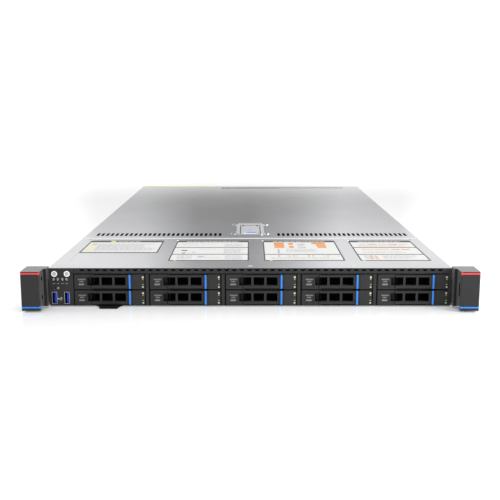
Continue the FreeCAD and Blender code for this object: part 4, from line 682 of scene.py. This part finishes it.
# Blocks of fine grey text: left, right, front and back edge
GREY_TEXT = (
    (-188.0, -115.0, 98.0, 145.0), (-60.8, -33.8, 136.0, 144.0), (-84.0, -66.0, 134.0, 146.0),
    (-31.6, -5.2, 123.0, 146.0), (-61.0, -34.0, 104.0, 110.0), (-31.6, -5.2, 80.0, 112.0),
    (-60.6, -32.5, 50.0, 58.0), (-84.0, -64.0, 46.0, 70.0), (-29.0, -5.0, 44.0, 70.0),
    (43.0, 84.0, 85.0, 110.0), (58.0, 69.0, 112.0, 146.0), (24.0, 100.0, 46.0, 58.0),
    (133.0, 195.0, 122.0, 134.0), (133.0, 190.0, 84.0, 94.0), (131.0, 150.0, 46.0, 70.0),
    (152.0, 192.0, 48.0, 70.0),
)

# Coloured blocks: ink, left, right, front and back edge
COLOUR_BLOCKS = (
    ("yellow ink", -175.8, -169.7, 155.5, 163.5), ("yellow ink", -196.0, -190.0, 129.5, 134.5),
    ("yellow ink", -195.6, -189.4, 117.0, 122.0), ("yellow ink", -196.0, -190.4, 105.0, 109.0),
    ("yellow ink", -197.0, -189.7, 97.5, 102.5), ("ink", -196.0, -190.0, 139.8, 142.4),
    ("yellow ink", -86.3, -83.5, 37.2, 40.0), ("ink", -82.0, -75.0, 96.5, 101.5),
    ("ink", -80.0, -76.5, 81.0, 85.0),
    ("blue ink", -68.0, -65.6, 84.8, 89.2), ("blue ink", -60.6, -53.3, 60.2, 64.4),
    ("blue ink", -66.5, -64.5, 134.0, 137.0), ("orange ink", 29.5, 41.7, 138.4, 151.0),
    ("orange ink", 29.5, 41.7, 127.4, 136.8), ("orange ink", 29.5, 41.7, 116.0, 125.8),
    ("orange ink", 47.3, 53.1, 136.5, 149.0), ("orange ink", 47.3, 53.1, 116.0, 128.6),
    ("orange ink", 76.5, 93.4, 141.5, 152.4), ("orange ink", 81.3, 92.7, 128.0, 139.0),
    ("orange ink", 82.0, 93.0, 116.0, 125.6), ("orange ink", 62.0, 68.0, 139.0, 141.4),
    ("orange ink", 62.0, 68.0, 116.4, 118.8), ("grey ink", 33.0, 34.6, 80.0, 108.0),
    ("yellow ink", 22.1, 25.0, 37.2, 40.0),
    ("orange ink", 32.4, 34.4, 61.6, 67.8), ("orange ink", 49.5, 51.5, 61.6, 67.8),
    ("orange ink", 66.7, 68.7, 61.6, 67.8), ("orange ink", 71.7, 73.7, 61.6, 67.8),
    ("orange ink", 88.8, 90.8, 61.6, 67.8), ("pale orange ink", 42.7, 47.1, 61.6, 66.0),
    ("pale orange ink", 53.6, 55.4, 61.6, 66.0), ("pale orange ink", 84.2, 86.2, 61.6, 66.0),
    ("pale orange ink", 101.2, 103.0, 61.6, 66.0), ("pale orange ink", 135.3, 143.6, 137.6, 142.0),
    ("orange ink", 145.6, 157.0, 137.6, 142.0), ("pale orange ink", 159.0, 169.6, 137.6, 142.0),
    ("orange ink", 171.6, 182.4, 137.6, 142.0), ("pale orange ink", 184.4, 194.4, 137.6, 142.0),
    ("pale orange ink", 133.5, 148.1, 103.0, 107.6), ("pale orange ink", 149.2, 167.6, 103.0, 107.6),
    ("orange ink", 169.5, 179.9, 103.0, 107.6), ("orange ink", 181.3, 191.2, 103.0, 107.6),
    ("orange ink", 137.6, 140.2, 60.4, 65.2), ("pale orange ink", 143.6, 146.4, 60.4, 65.2),
    ("orange ink", 137.4, 140.4, 49.2, 54.0), ("orange ink", 143.4, 146.4, 49.2, 54.0),
    ("yellow ink", 126.8, 129.7, 37.2, 40.0),
)


def print_labels():
    """Four paper sheets in the cover's recesses, with borders, headers and generic blocks of print."""
    prints = Prints("cover_labels", "chassis")
    ink_level = SHEET_TOP + PRINT_LIFT
    over_level = ink_level + PRINT_LIFT
    for name, (left, right, front, back) in SHEET_EDGES.items():
        prints.sheet(left, right, front, back, TOP - RECESS_DEPTH + PRINT_LIFT, SHEET_TOP, "paper")
        inner_left = left + SIDE_BORDER
        inner_right = right - SIDE_BORDER
        prints.flat(left, inner_left, front, back, ink_level, "ink")
        prints.flat(inner_right, right, front, back, ink_level, "ink")
        prints.flat(inner_left, inner_right, front, front + FRONT_BORDER, ink_level, "ink")
        prints.flat(inner_left, inner_right, HEADER_DEPTH, back, ink_level, "ink")
        for rule in SHEET_RULES[name]:
            near = rule - RULE_WIDTH / 2
            prints.flat(inner_left, inner_right, near, near + RULE_WIDTH, ink_level, "ink")
        start, end = HEADER_TEXT[name]
        text_lines(
            prints, start, end, HEADER_DEPTH, back, over_level, HEADER_PITCH, "pale ink", len(name), 1.0
        )
    for number, (left, right, front, back) in enumerate(GREY_TEXT):
        text_lines(prints, left, right, front, back, ink_level, TEXT_PITCH, "fine ink", number)
    for ink, left, right, front, back in COLOUR_BLOCKS:
        prints.flat(left, right, front, back, over_level, ink)
    prints.finish()


# Yellow strip at the back of the rear cover: left, right, front and back edge
STRIP_EDGES = (-214.5, -71.0, 786.0, 793.0)
STRIP_MARGIN = 6.0
STRIP_PITCH = 5.0


def print_strip():
    """The yellow strip with one row of bars."""
    prints = Prints("cover_strip", "rear_cover")
    left, right, front, back = STRIP_EDGES
    top = TOP + LABEL_THICKNESS
    prints.sheet(left, right, front, back, TOP, top, "strip yellow")
    start = left + STRIP_MARGIN
    end = right - STRIP_MARGIN
    text_lines(prints, start, end, front, back, top + PRINT_LIFT, STRIP_PITCH, "ink", 5, 1.0)
    prints.finish()


# Text rows of a carrier, from its lower left corner: pairs of left and right, then low and high edge
CARRIER_LINES = (
    ((4.6, 6.1), (6.5, 7.9), (8.3, 9.4), (9.8, 11.2), (11.5, 12.6), 10.1, 11.4),
    ((6.2, 7.3), (7.6, 8.9), (9.2, 10.3), 7.8, 9.1),
    ((5.2, 6.6), (6.8, 8.1), (8.3, 9.6), (9.8, 11.0), 4.3, 6.2),
)

# Hinge of a lever, and the dark lines along its button's stripe
HINGE_GAP = (15.6, 18.3)
HINGE_SHADOW = 0.9
HINGE_RIB = 20.2
KNUCKLE_STEP = 0.4
STRIPE_LINE_LEFT = 0.35
STRIPE_LINE_RIGHT = 0.2

# Lamps and icons of a carrier in one column: ink, half width, low and high edge
LAMP_COLUMN = 74.5
CARRIER_LAMPS = (
    ("white ink", 0.9, 12.3, 14.1), ("amber lamp", 0.75, 10.4, 11.5), ("green lamp", 0.85, 4.6, 5.8),
    ("white ink", 0.8, 1.8, 3.1),
)


def print_carrier_front(number):
    """Small text, a column of lamps and icons, the hinge's cover strips and a painted shadow beside the
    hinge on one carrier.
    """
    node = "drive_carrier_" + number
    prints = Prints("carrier_print_" + number, node)
    (x0, _, z0), (_, _, top_edge) = box_mm(node)
    field = BEZEL + LABEL_FIELD_DEPTH - PRINT_LIFT
    for line in CARRIER_LINES:
        bottom, top = line[-2:]
        for left, right in line[:-2]:
            prints.upright(x0 + left, x0 + right, z0 + bottom, z0 + top, field, "text ink")
    face = BEZEL - PRINT_LIFT
    middle = x0 + LAMP_COLUMN
    for ink, half, bottom, top in CARRIER_LAMPS:
        prints.upright(middle - half, middle + half, z0 + bottom, z0 + top, face, ink)
    left = x0 + HINGE_GAP[0]
    for bottom, top in ((z0, z0 + WINDOWS_LOW), (z0 + WINDOWS_HIGH, top_edge)):
        prints.sheet(left, x0 + HINGE_GAP[1], BEZEL, BEZEL + KNUCKLE_STEP, bottom, top, "carrier")
    # Painted shadow in the gap on the left of the hinge
    prints.upright(left - HINGE_SHADOW, left, z0 + WINDOWS_LOW, z0 + WINDOWS_HIGH, face, "void")
    prints.finish()


def print_lever(number):
    """Painted shade in the first window's dark part over the hinge, and the knuckles' steps above and
    below it.
    """
    x0, _, z0 = box_mm("drive_carrier_" + number)[0]
    lever = "carrier_lever_" + number
    (knuckle, _, bottom_edge), (_, _, top_edge) = box_mm(lever)
    prints = Prints("lever_print_" + number, lever)
    rib = x0 + HINGE_RIB
    low = z0 + WINDOWS_LOW
    high = z0 + WINDOWS_HIGH
    step = BEZEL + KNUCKLE_STEP
    prints.upright(rib, x0 + WINDOWS_LEFT, low, high, BEZEL - PRINT_LIFT, "void")
    prints.upright(knuckle, rib, low, high, step - PRINT_LIFT, "void")
    for bottom, top in ((bottom_edge, low), (high, top_edge)):
        prints.sheet(knuckle, rib, BEZEL, step, bottom, top, "carrier")
    prints.finish()


def print_release(number):
    """Dark lines along the blue stripe of a carrier's release button."""
    button = "carrier_button_" + number
    prints = Prints("button_print_" + number, button)
    low, high = box_mm(button)
    left = box_mm("drive_carrier_" + number)[0][0] + STRIPE_OFFSET
    right = left + STRIPE_WIDTH
    for start, end in ((left, left + STRIPE_LINE_LEFT), (right - STRIPE_LINE_RIGHT, right)):
        prints.upright(start, end, low[2], high[2], low[1] - PRINT_LIFT, "black")
    prints.finish()


def print_carriers():
    for number in CARRIERS:
        print_carrier_front(number)
        print_lever(number)
        print_release(number)


# Control panel, in millimetres from the chassis middle and its underside
POWER_X = -210.7
LOCATOR_X = -197.2
BUTTON_Z = 36.4
ICON_Z = 30.2
LAMP_Z = 26.75
ICON_COLUMNS = (-211.5, -207.0, -202.2, -197.8)
PINHOLE_X = -210.4
PINHOLE_Z = 20.4
RESET_X = PINHOLE_X + 3.4
RESET_Z = PINHOLE_Z + 0.4
USB_MARK_X = -205.0
USB_MARK_Z = 8.8

# Buttons: white rim, and a sign of an open ring and a bar, whose white ink glows as painted light
RIM = (1.9, 3.2)
SIGN_RING = (0.75, 1.1)
SIGN_ARC = (120.0, 300.0)
SIGN_BARS = ((-0.18, 0.18, 0.2, 1.4),)

# Panel: holes painted dark as shade with a painted highlight, a pale arc, at the lower edge, a small ring
# and bars
LAMP_RADIUS = 1.15
LAMP_HIGHLIGHT = (0.8, 1.25)
PINHOLE_RADIUS = 1.1
PINHOLE_HIGHLIGHT = (0.95, 1.2)
HIGHLIGHT_ARC = (200.0, 140.0)
RESET_RING = (0.6, 1.0)
ICON_BARS = ((-1.0, 1.0, 0.9, 1.4), (-1.0, 1.0, -0.2, 0.3))
ICON_SHORT_BAR = ((-0.9, 0.0, -1.3, -0.7),)
ICON_SHIFT = 0.3
TRIDENT_BARS = ((-2.4, 2.2, -0.25, 0.25), (0.2, 1.8, 1.2, 1.7), (-0.6, 1.0, -1.7, -1.2))
TRIDENT_DISC = 0.8


def print_bars(prints, x, z, bars, d, key):
    """Upright bars round the middle (x, z); each is (left, right, low, high)."""
    for left, right, low, high in bars:
        prints.upright(x + left, x + right, z + low, z + high, d, key)


def print_buttons():
    """White rims and generic symbols on the two round buttons; their white ink has a painted glow."""
    for body, x in (("power_button", POWER_X), ("locator_button", LOCATOR_X)):
        prints = Prints(body + "_face", body)
        face = box_mm(body)[0][1] - PRINT_LIFT
        over = face - PRINT_LIFT
        prints.ring_front(x, BUTTON_Z, *RIM, face, "bright ink", sides=36)
        prints.disc_front(x, BUTTON_Z, RIM[0], face, "grey ink")
        prints.ring_front(x, BUTTON_Z, *SIGN_RING, over, "bright ink", *SIGN_ARC)
        print_bars(prints, x, BUTTON_Z, SIGN_BARS, over, "bright ink")
        prints.finish()


def print_panel():
    """Icons, lamps behind round holes, a pinhole and a plain trident between the sockets; the holes are
    painted shade with a painted highlight at their lower edge.
    """
    prints = Prints("panel_print", "chassis")
    face = BEZEL - PRINT_LIFT
    over = face - PRINT_LIFT
    for number, x in enumerate(ICON_COLUMNS):
        print_bars(prints, x, ICON_Z, ICON_BARS, face, "white ink")
        print_bars(prints, x + ICON_SHIFT * number, ICON_Z, ICON_SHORT_BAR, face, "white ink")
        prints.disc_front(x, LAMP_Z, LAMP_RADIUS, face, "void")
        prints.ring_front(x, LAMP_Z, *LAMP_HIGHLIGHT, over, "pale ink", *HIGHLIGHT_ARC)
    prints.disc_front(PINHOLE_X, PINHOLE_Z, PINHOLE_RADIUS, face, "void")
    prints.ring_front(PINHOLE_X, PINHOLE_Z, *PINHOLE_HIGHLIGHT, over, "grey ink", *HIGHLIGHT_ARC)
    prints.ring_front(RESET_X, RESET_Z, *RESET_RING, face, "white ink")
    print_bars(prints, USB_MARK_X, USB_MARK_Z, TRIDENT_BARS, face, "white ink")
    prints.disc_front(USB_MARK_X + TRIDENT_BARS[0][0], USB_MARK_Z, TRIDENT_DISC, face, "white ink")
    prints.finish()


# Dark lines of the ears' front faces: low and high edge
INLAY_LINES = (
    (RED_HIGH - 0.45, RED_HIGH + 0.2), (RED_LOW - 0.2, RED_LOW + 0.4),
    (BLUE_HIGH - 0.4, BLUE_HIGH + 0.2), (BLUE_LOW - 0.2, BLUE_LOW + 0.25),
)


def print_ears():
    """Dark lines along the coloured inlays, which make them as slim as they look."""
    for node, side in (("left_ear", -1), ("right_ear", 1)):
        prints = Prints(node + "_lines", "chassis")
        face = box_mm(node)[0][1] - PRINT_LIFT
        left, right = sorted((side * EAR_FACE_INNER, side * EAR_FACE_OUTER))
        for bottom, top in INLAY_LINES:
            prints.upright(left, right, bottom, top, face, "edge line")
        prints.finish()


# Seam between the covers: a rounded bead on the front cover's back edge, as (depth, height)
BEAD_PROFILE = ((179.8, 0.0), (180.4, 0.3), (181.3, 0.5), (182.4, 0.5), (183.2, 0.3), (183.7, 0.0))
BEAD_REACH = 214.0
SEAM_SCREWS = (-205.0, 205.0)
SEAM_SCREW_DEPTH = 174.5
SEAM_SCREW_RADIUS = 1.3


def make_seam():
    """The bead and two small screws that hold the front cover."""
    prints = Prints("seam_bead", "chassis")
    for (d0, rise0), (d1, rise1) in zip(BEAD_PROFILE, BEAD_PROFILE[1:]):
        prints.shape(
            [
                place(-BEAD_REACH, d0, TOP + rise0), place(BEAD_REACH, d0, TOP + rise0),
                place(BEAD_REACH, d1, TOP + rise1), place(-BEAD_REACH, d1, TOP + rise1),
            ],
            "bead",
        )
    for side in (-BEAD_REACH, BEAD_REACH):
        prints.shape([place(side, d, TOP + rise) for d, rise in BEAD_PROFILE], "bead")
    for x in SEAM_SCREWS:
        prints.ring_flat(x, SEAM_SCREW_DEPTH, 0.0, SEAM_SCREW_RADIUS, TOP + PRINT_LIFT, "ink", sides=16)
    prints.finish()


# Latch: the blue mark at the back of the lever's thumb dish, and the shadows round the lever
MARK_HALF = 8.8
MARK_DEPTH = 228.9
MARK_BOW = -1.6
MARK_STEPS = 12

# Bands of the mark: reach of the near and the far edge to the front, rise of the far edge, ink; the second
# band is a painted highlight on the dish floor
MARK_BANDS = ((1.6, 0.0, 0.8, "latch blue"), (7.0, 2.0, 0.0, "bright ink"))
DISH_FLOOR = TOP - 0.7
LEVER_FACE = TOP + 0.1
LEVER_HALF = 13.6
LEVER_FRONT = 214.0
LEVER_BACK = 286.0
LEVER_SIDE_LINE = 0.8
BACK_GAP_HALF = 10.6
BACK_GAP = (-1.5, 1.5)
CORNER_EDGES = (8.8, 11.4)
CORNER_GAP = (-4.5, 3.5)
RING_DEPTH = 252.0
RING_EDGES = (1.6, 2.3)
LUG_HOLES = ((-21.9, 217.5), (21.9, 217.5), (-21.9, 294.5), (21.9, 294.5))
LUG_HOLE_RADIUS = 2.0
LUG_TOP = 43.5


def print_latch_mark(prints):
    """A bowed blue line with a painted highlight, a pale gleam, in front of it, in short steps across."""
    level = DISH_FLOOR + PRINT_LIFT
    for step in range(MARK_STEPS):
        a = -1 + 2 * step / MARK_STEPS
        b = -1 + 2 * (step + 1) / MARK_STEPS
        back_a = MARK_DEPTH + MARK_BOW * a * a
        back_b = MARK_DEPTH + MARK_BOW * b * b
        for near, far, rise, ink in MARK_BANDS:
            prints.shape(
                [
                    place(a * MARK_HALF, back_a - near, level),
                    place(b * MARK_HALF, back_b - near, level),
                    place(b * MARK_HALF, back_b - far, level + rise),
                    place(a * MARK_HALF, back_a - far, level + rise),
                ],
                ink,
            )


def print_latch():
    """The mark, a small ring, painted shadows round the lever and painted shade in the holes of the lugs.
    """
    prints = Prints("latch_mark", "cover_latch")
    print_latch_mark(prints)
    face = LEVER_FACE + PRINT_LIFT
    # Painted shadows: a dark ink line in the gap behind the lever, black corners at its back and dark ink
    # lines along its sides
    near, far = (LEVER_BACK + step for step in BACK_GAP)
    prints.flat(-BACK_GAP_HALF, BACK_GAP_HALF, near, far, face, "ink")
    near, far = (LEVER_BACK + step for step in CORNER_GAP)
    for side in (-1, 1):
        left, right = sorted(side * edge for edge in CORNER_EDGES)
        prints.flat(left, right, near, far, face, "void")
        left, right = sorted((side * (LEVER_HALF - LEVER_SIDE_LINE), side * LEVER_HALF))
        prints.flat(left, right, LEVER_FRONT, LEVER_BACK, face, "ink")
    prints.ring_flat(0.0, RING_DEPTH, *RING_EDGES, face, "grey ink")
    # Painted shade in the holes of the lugs
    for x, depth in LUG_HOLES:
        prints.ring_flat(x, depth, 0.0, LUG_HOLE_RADIUS, LUG_TOP + PRINT_LIFT, "void", sides=16)
    prints.finish()


# Back: pin holes of the video port as painted shade, lamps of the network ports and print of the power
# supplies
PIN_ROWS = (-1, 0, 1)
PIN_COLUMNS = 5
PIN_PITCH = 2.6
PIN_ROW_PITCH = 2.2
PIN_ROW_SHIFT = 0.6
PIN_HOLE_HALF = 0.5
NETWORK_LAMPS = ((-5.6, -3.4, "green lamp"), (3.4, 5.6, "amber lamp"))
NETWORK_LAMP_LOW = REAR_PORT_LOW + 11.3
NETWORK_LAMP_HIGH = REAR_PORT_LOW + 12.6
WALL_STEP = 0.1
RATING_LINES = 4
RATING_FIRST = 1.5
RATING_PITCH = 2.0
RATING_BAR = 0.7
RATING_MARGIN = 2.0
RATING_SHORTER = 3.0


def print_ports():
    """Pin holes of the video port as small squares of painted shade, and a green and an amber lamp over
    each network port.
    """
    prints = Prints("rear_prints", "chassis")
    face = CHASSIS_BACK + VIDEO_STANDOUT + PRINT_LIFT
    middle = (VIDEO_LOW + VIDEO_HIGH) / 2
    for row in PIN_ROWS:
        for column in range(PIN_COLUMNS):
            x = VIDEO_PORT + (column - 2) * PIN_PITCH + (row % 2) * PIN_ROW_SHIFT
            z = middle + row * PIN_ROW_PITCH
            half = PIN_HOLE_HALF
            prints.upright_back(x - half, x + half, z - half, z + half, face, "void")
    wall = CHASSIS_BACK - WALL_STEP + PRINT_LIFT
    for x in NETWORK_PORTS:
        for left, right, ink in NETWORK_LAMPS:
            prints.upright_back(x + left, x + right, NETWORK_LAMP_LOW, NETWORK_LAMP_HIGH, wall, ink)
    prints.finish()


def print_power_supply(number):
    """A rating label with four bars, and a green lamp."""
    node = "power_supply_%d" % number
    start = box_mm(node)[0][0]
    prints = Prints("supply_prints_%d" % number, node)
    face = REAR_FACE + PRINT_LIFT
    left, right, low, high = RATING_LABEL
    prints.upright_back(start + left, start + right, low, high, face, "paper")
    for line in range(RATING_LINES):
        z = low + RATING_FIRST + line * RATING_PITCH
        begin = start + left + RATING_MARGIN
        end = start + right - RATING_SHORTER * (1 + line % 2)
        prints.upright_back(begin, end, z, z + RATING_BAR, face + PRINT_LIFT, "fine ink")
    left, right, low, high = SUPPLY_LAMP
    prints.upright_back(start + left, start + right, low, high, face, "green lamp")
    prints.finish()


def print_back():
    print_ports()
    for number in (1, 2):
        print_power_supply(number)


make_seam()
print_ears()
print_latch()
print_back()
print_labels()
print_strip()
print_carriers()
print_buttons()
print_panel()


# Camera, floor and light


def make_camera():
    """The fitted pinhole, as wide as the photograph."""
    data = bpy.data.cameras.new("photo_camera")
    data.sensor_fit = "HORIZONTAL"
    data.angle = 2 * math.atan(PHOTO_SIZE / 2 / FOCAL_PIXELS)
    data.clip_end = 100.0
    camera = bpy.data.objects.new("photo_camera", data)
    side_step = (CENTRE_X_PIXEL - PHOTO_SIZE / 2) / FOCAL_PIXELS * CAMERA_AHEAD
    camera.location = place(-side_step, -CAMERA_AHEAD, CAMERA_HEIGHT)
    camera.rotation_euler = (math.radians(90 - CAMERA_PITCH), 0, 0)
    bpy.context.scene.collection.objects.link(camera)
    bpy.context.scene.camera = camera


FLOOR_HALF = 30.0
FLOOR_DROP = 0.0002
FLOOR_GLOW = 0.12
FLOOR_SHINE = 0.55


def make_floor():
    """A glossy white floor just below the server's underside."""
    mesh = bpy.data.meshes.new("floor")
    sides = ((-1, -1), (1, -1), (1, 1), (-1, 1))
    mesh.from_pydata([(x * FLOOR_HALF, y * FLOOR_HALF, 0) for x, y in sides], [], [(0, 1, 2, 3)])
    material = new_material("floor_gloss", (0.93, 0.93, 0.935), 0.12)
    vary_roughness(material, noise(material, FLOOR_CELLS), 0.07, 0.10)
    glowing(material, (1.0, 1.0, 1.0), FLOOR_GLOW)
    set_specular(material, FLOOR_SHINE)
    mesh.materials.append(material)
    floor = bpy.data.objects.new("floor", mesh)
    floor.location.z = -FLOOR_DROP
    bpy.context.scene.collection.objects.link(floor)


def make_light(name, location, target, size, power):
    """A rectangular lamp, size (across, up) in metres, that shines from location to target."""
    data = bpy.data.lights.new(name, "AREA")
    data.shape = "RECTANGLE"
    data.size = size[0]
    data.size_y = size[1]
    data.energy = power
    light = bpy.data.objects.new(name, data)
    light.location = location
    aim = Vector(target) - Vector(location)
    light.rotation_euler = aim.to_track_quat("-Z", "Y").to_euler()
    bpy.context.scene.collection.objects.link(light)


# Studio room, by the parts of the direction: the screen's greys across, as (X, grey)
SCREEN_REACH = 0.5
SCREEN_STOPS = (
    (-0.23, 1.00), (-0.185, 0.50), (-0.13, 0.45), (-0.065, 0.235), (0.0, 0.215),
    (0.05, 0.31), (0.11, 0.54), (0.18, 0.48), (0.23, 1.00),
)
SCREEN_TINT = 1.01
SCREEN_WHITE = 0.90

# The screen's shade grows with Z from foot to head, and Z and Y bound it
SCREEN_FOOT = 0.92
SCREEN_FOOT_AT = 0.125
SCREEN_HEAD = 1.85
SCREEN_HEAD_AT = 0.19
SCREEN_BOTTOM = 0.1065
SCREEN_RISE = 0.006
SCREEN_TOP = 0.34
SCREEN_FALL = 0.1
SCREEN_AHEAD = 0.3
SCREEN_BEHIND = 0.6

# The room is white, and grey at its front
ROOM_WHITE = (1.14, 1.14, 1.14, 1.0)
FRONT_GREY = (0.32, 0.32, 0.32, 1.0)
FRONT_GREY_FULL = -0.5


def world_step(tree, value, start, end):
    """A smooth step from 0 to 1 as value goes from start to end."""
    step = tree.nodes.new("ShaderNodeMapRange")
    step.interpolation_type = "SMOOTHSTEP"
    step.inputs["From Min"].default_value = start
    step.inputs["From Max"].default_value = end
    tree.links.new(value, step.inputs["Value"])
    return step.outputs["Result"]


def world_product(tree, first, second):
    product = tree.nodes.new("ShaderNodeMath")
    product.operation = "MULTIPLY"
    tree.links.new(first, product.inputs[0])
    tree.links.new(second, product.inputs[1])
    return product.outputs["Value"]


def screen_greys(tree, across):
    """The grey of the screen by the X part of the direction."""
    screen = tree.nodes.new("ShaderNodeMapRange")
    screen.inputs["From Min"].default_value = -SCREEN_REACH
    screen.inputs["From Max"].default_value = SCREEN_REACH
    tree.links.new(across, screen.inputs["Value"])
    colours = tree.nodes.new("ShaderNodeValToRGB")
    tree.links.new(screen.outputs["Result"], colours.inputs["Fac"])
    elements = colours.color_ramp.elements
    while len(elements) < len(SCREEN_STOPS):
        elements.new(0.5)
    for element, (position, grey) in zip(elements, SCREEN_STOPS):
        element.position = (position + SCREEN_REACH) / (2 * SCREEN_REACH)
        element.color = (grey, grey, grey * SCREEN_TINT, 1.0)
    return colours.outputs["Color"]


def screen_light(tree, across, up):
    """The screen's greys, brighter towards its head and never above its white."""
    shade = tree.nodes.new("ShaderNodeMapRange")
    shade.inputs["From Min"].default_value = SCREEN_FOOT_AT
    shade.inputs["From Max"].default_value = SCREEN_HEAD_AT
    shade.inputs["To Min"].default_value = SCREEN_FOOT
    shade.inputs["To Max"].default_value = SCREEN_HEAD
    tree.links.new(up, shade.inputs["Value"])
    shaded = tree.nodes.new("ShaderNodeVectorMath")
    shaded.operation = "SCALE"
    tree.links.new(screen_greys(tree, across), shaded.inputs["Vector"])
    tree.links.new(shade.outputs["Result"], shaded.inputs["Scale"])
    bright = tree.nodes.new("ShaderNodeVectorMath")
    bright.operation = "MINIMUM"
    bright.inputs[1].default_value = (SCREEN_WHITE, SCREEN_WHITE, SCREEN_WHITE)
    tree.links.new(shaded.outputs["Vector"], bright.inputs[0])
    return bright.outputs["Vector"]


def screen_area(tree, back, up):
    """One on the screen, which stands low behind the server, and nought outside it."""
    rise = world_step(tree, up, SCREEN_BOTTOM, SCREEN_BOTTOM + SCREEN_RISE)
    behind = world_step(tree, back, SCREEN_AHEAD, SCREEN_BEHIND)
    below_top = world_step(tree, up, SCREEN_TOP + SCREEN_FALL, SCREEN_TOP)
    return world_product(tree, world_product(tree, rise, behind), below_top)


def room_light(tree, back):
    mix = tree.nodes.new("ShaderNodeMixRGB")
    mix.inputs["Color1"].default_value = ROOM_WHITE
    mix.inputs["Color2"].default_value = FRONT_GREY
    tree.links.new(world_step(tree, back, 0.0, FRONT_GREY_FULL), mix.inputs["Fac"])
    return mix.outputs["Color"]


def make_world():
    """White studio room with a darker screen behind the server, which the cover and the floor mirror."""
    world = bpy.data.worlds.new("studio")
    world.use_nodes = True
    tree = world.node_tree
    coordinates = tree.nodes.new("ShaderNodeTexCoord")
    parts = tree.nodes.new("ShaderNodeSeparateXYZ")
    tree.links.new(coordinates.outputs["Generated"], parts.inputs["Vector"])
    across, back, up = (parts.outputs[axis] for axis in "XYZ")
    mix = tree.nodes.new("ShaderNodeMixRGB")
    tree.links.new(screen_area(tree, back, up), mix.inputs["Fac"])
    tree.links.new(room_light(tree, back), mix.inputs["Color1"])
    tree.links.new(screen_light(tree, across, up), mix.inputs["Color2"])
    background = tree.nodes["Background"]
    tree.links.new(mix.outputs["Color"], background.inputs["Color"])
    background.inputs["Strength"].default_value = 1.0
    bpy.context.scene.world = world


make_camera()
make_floor()
make_world()
make_light("key", location=(0.0, -0.9, 1.9), target=(0.0, 0.0, 0.0), size=(1.6, 1.0), power=14.0)
make_light("right_side", location=(0.95, -0.9, 0.30), target=(0.2, -0.4, 0.0), size=(0.5, 0.4), power=9.0)
bpy.context.scene.view_settings.view_transform = "Standard"
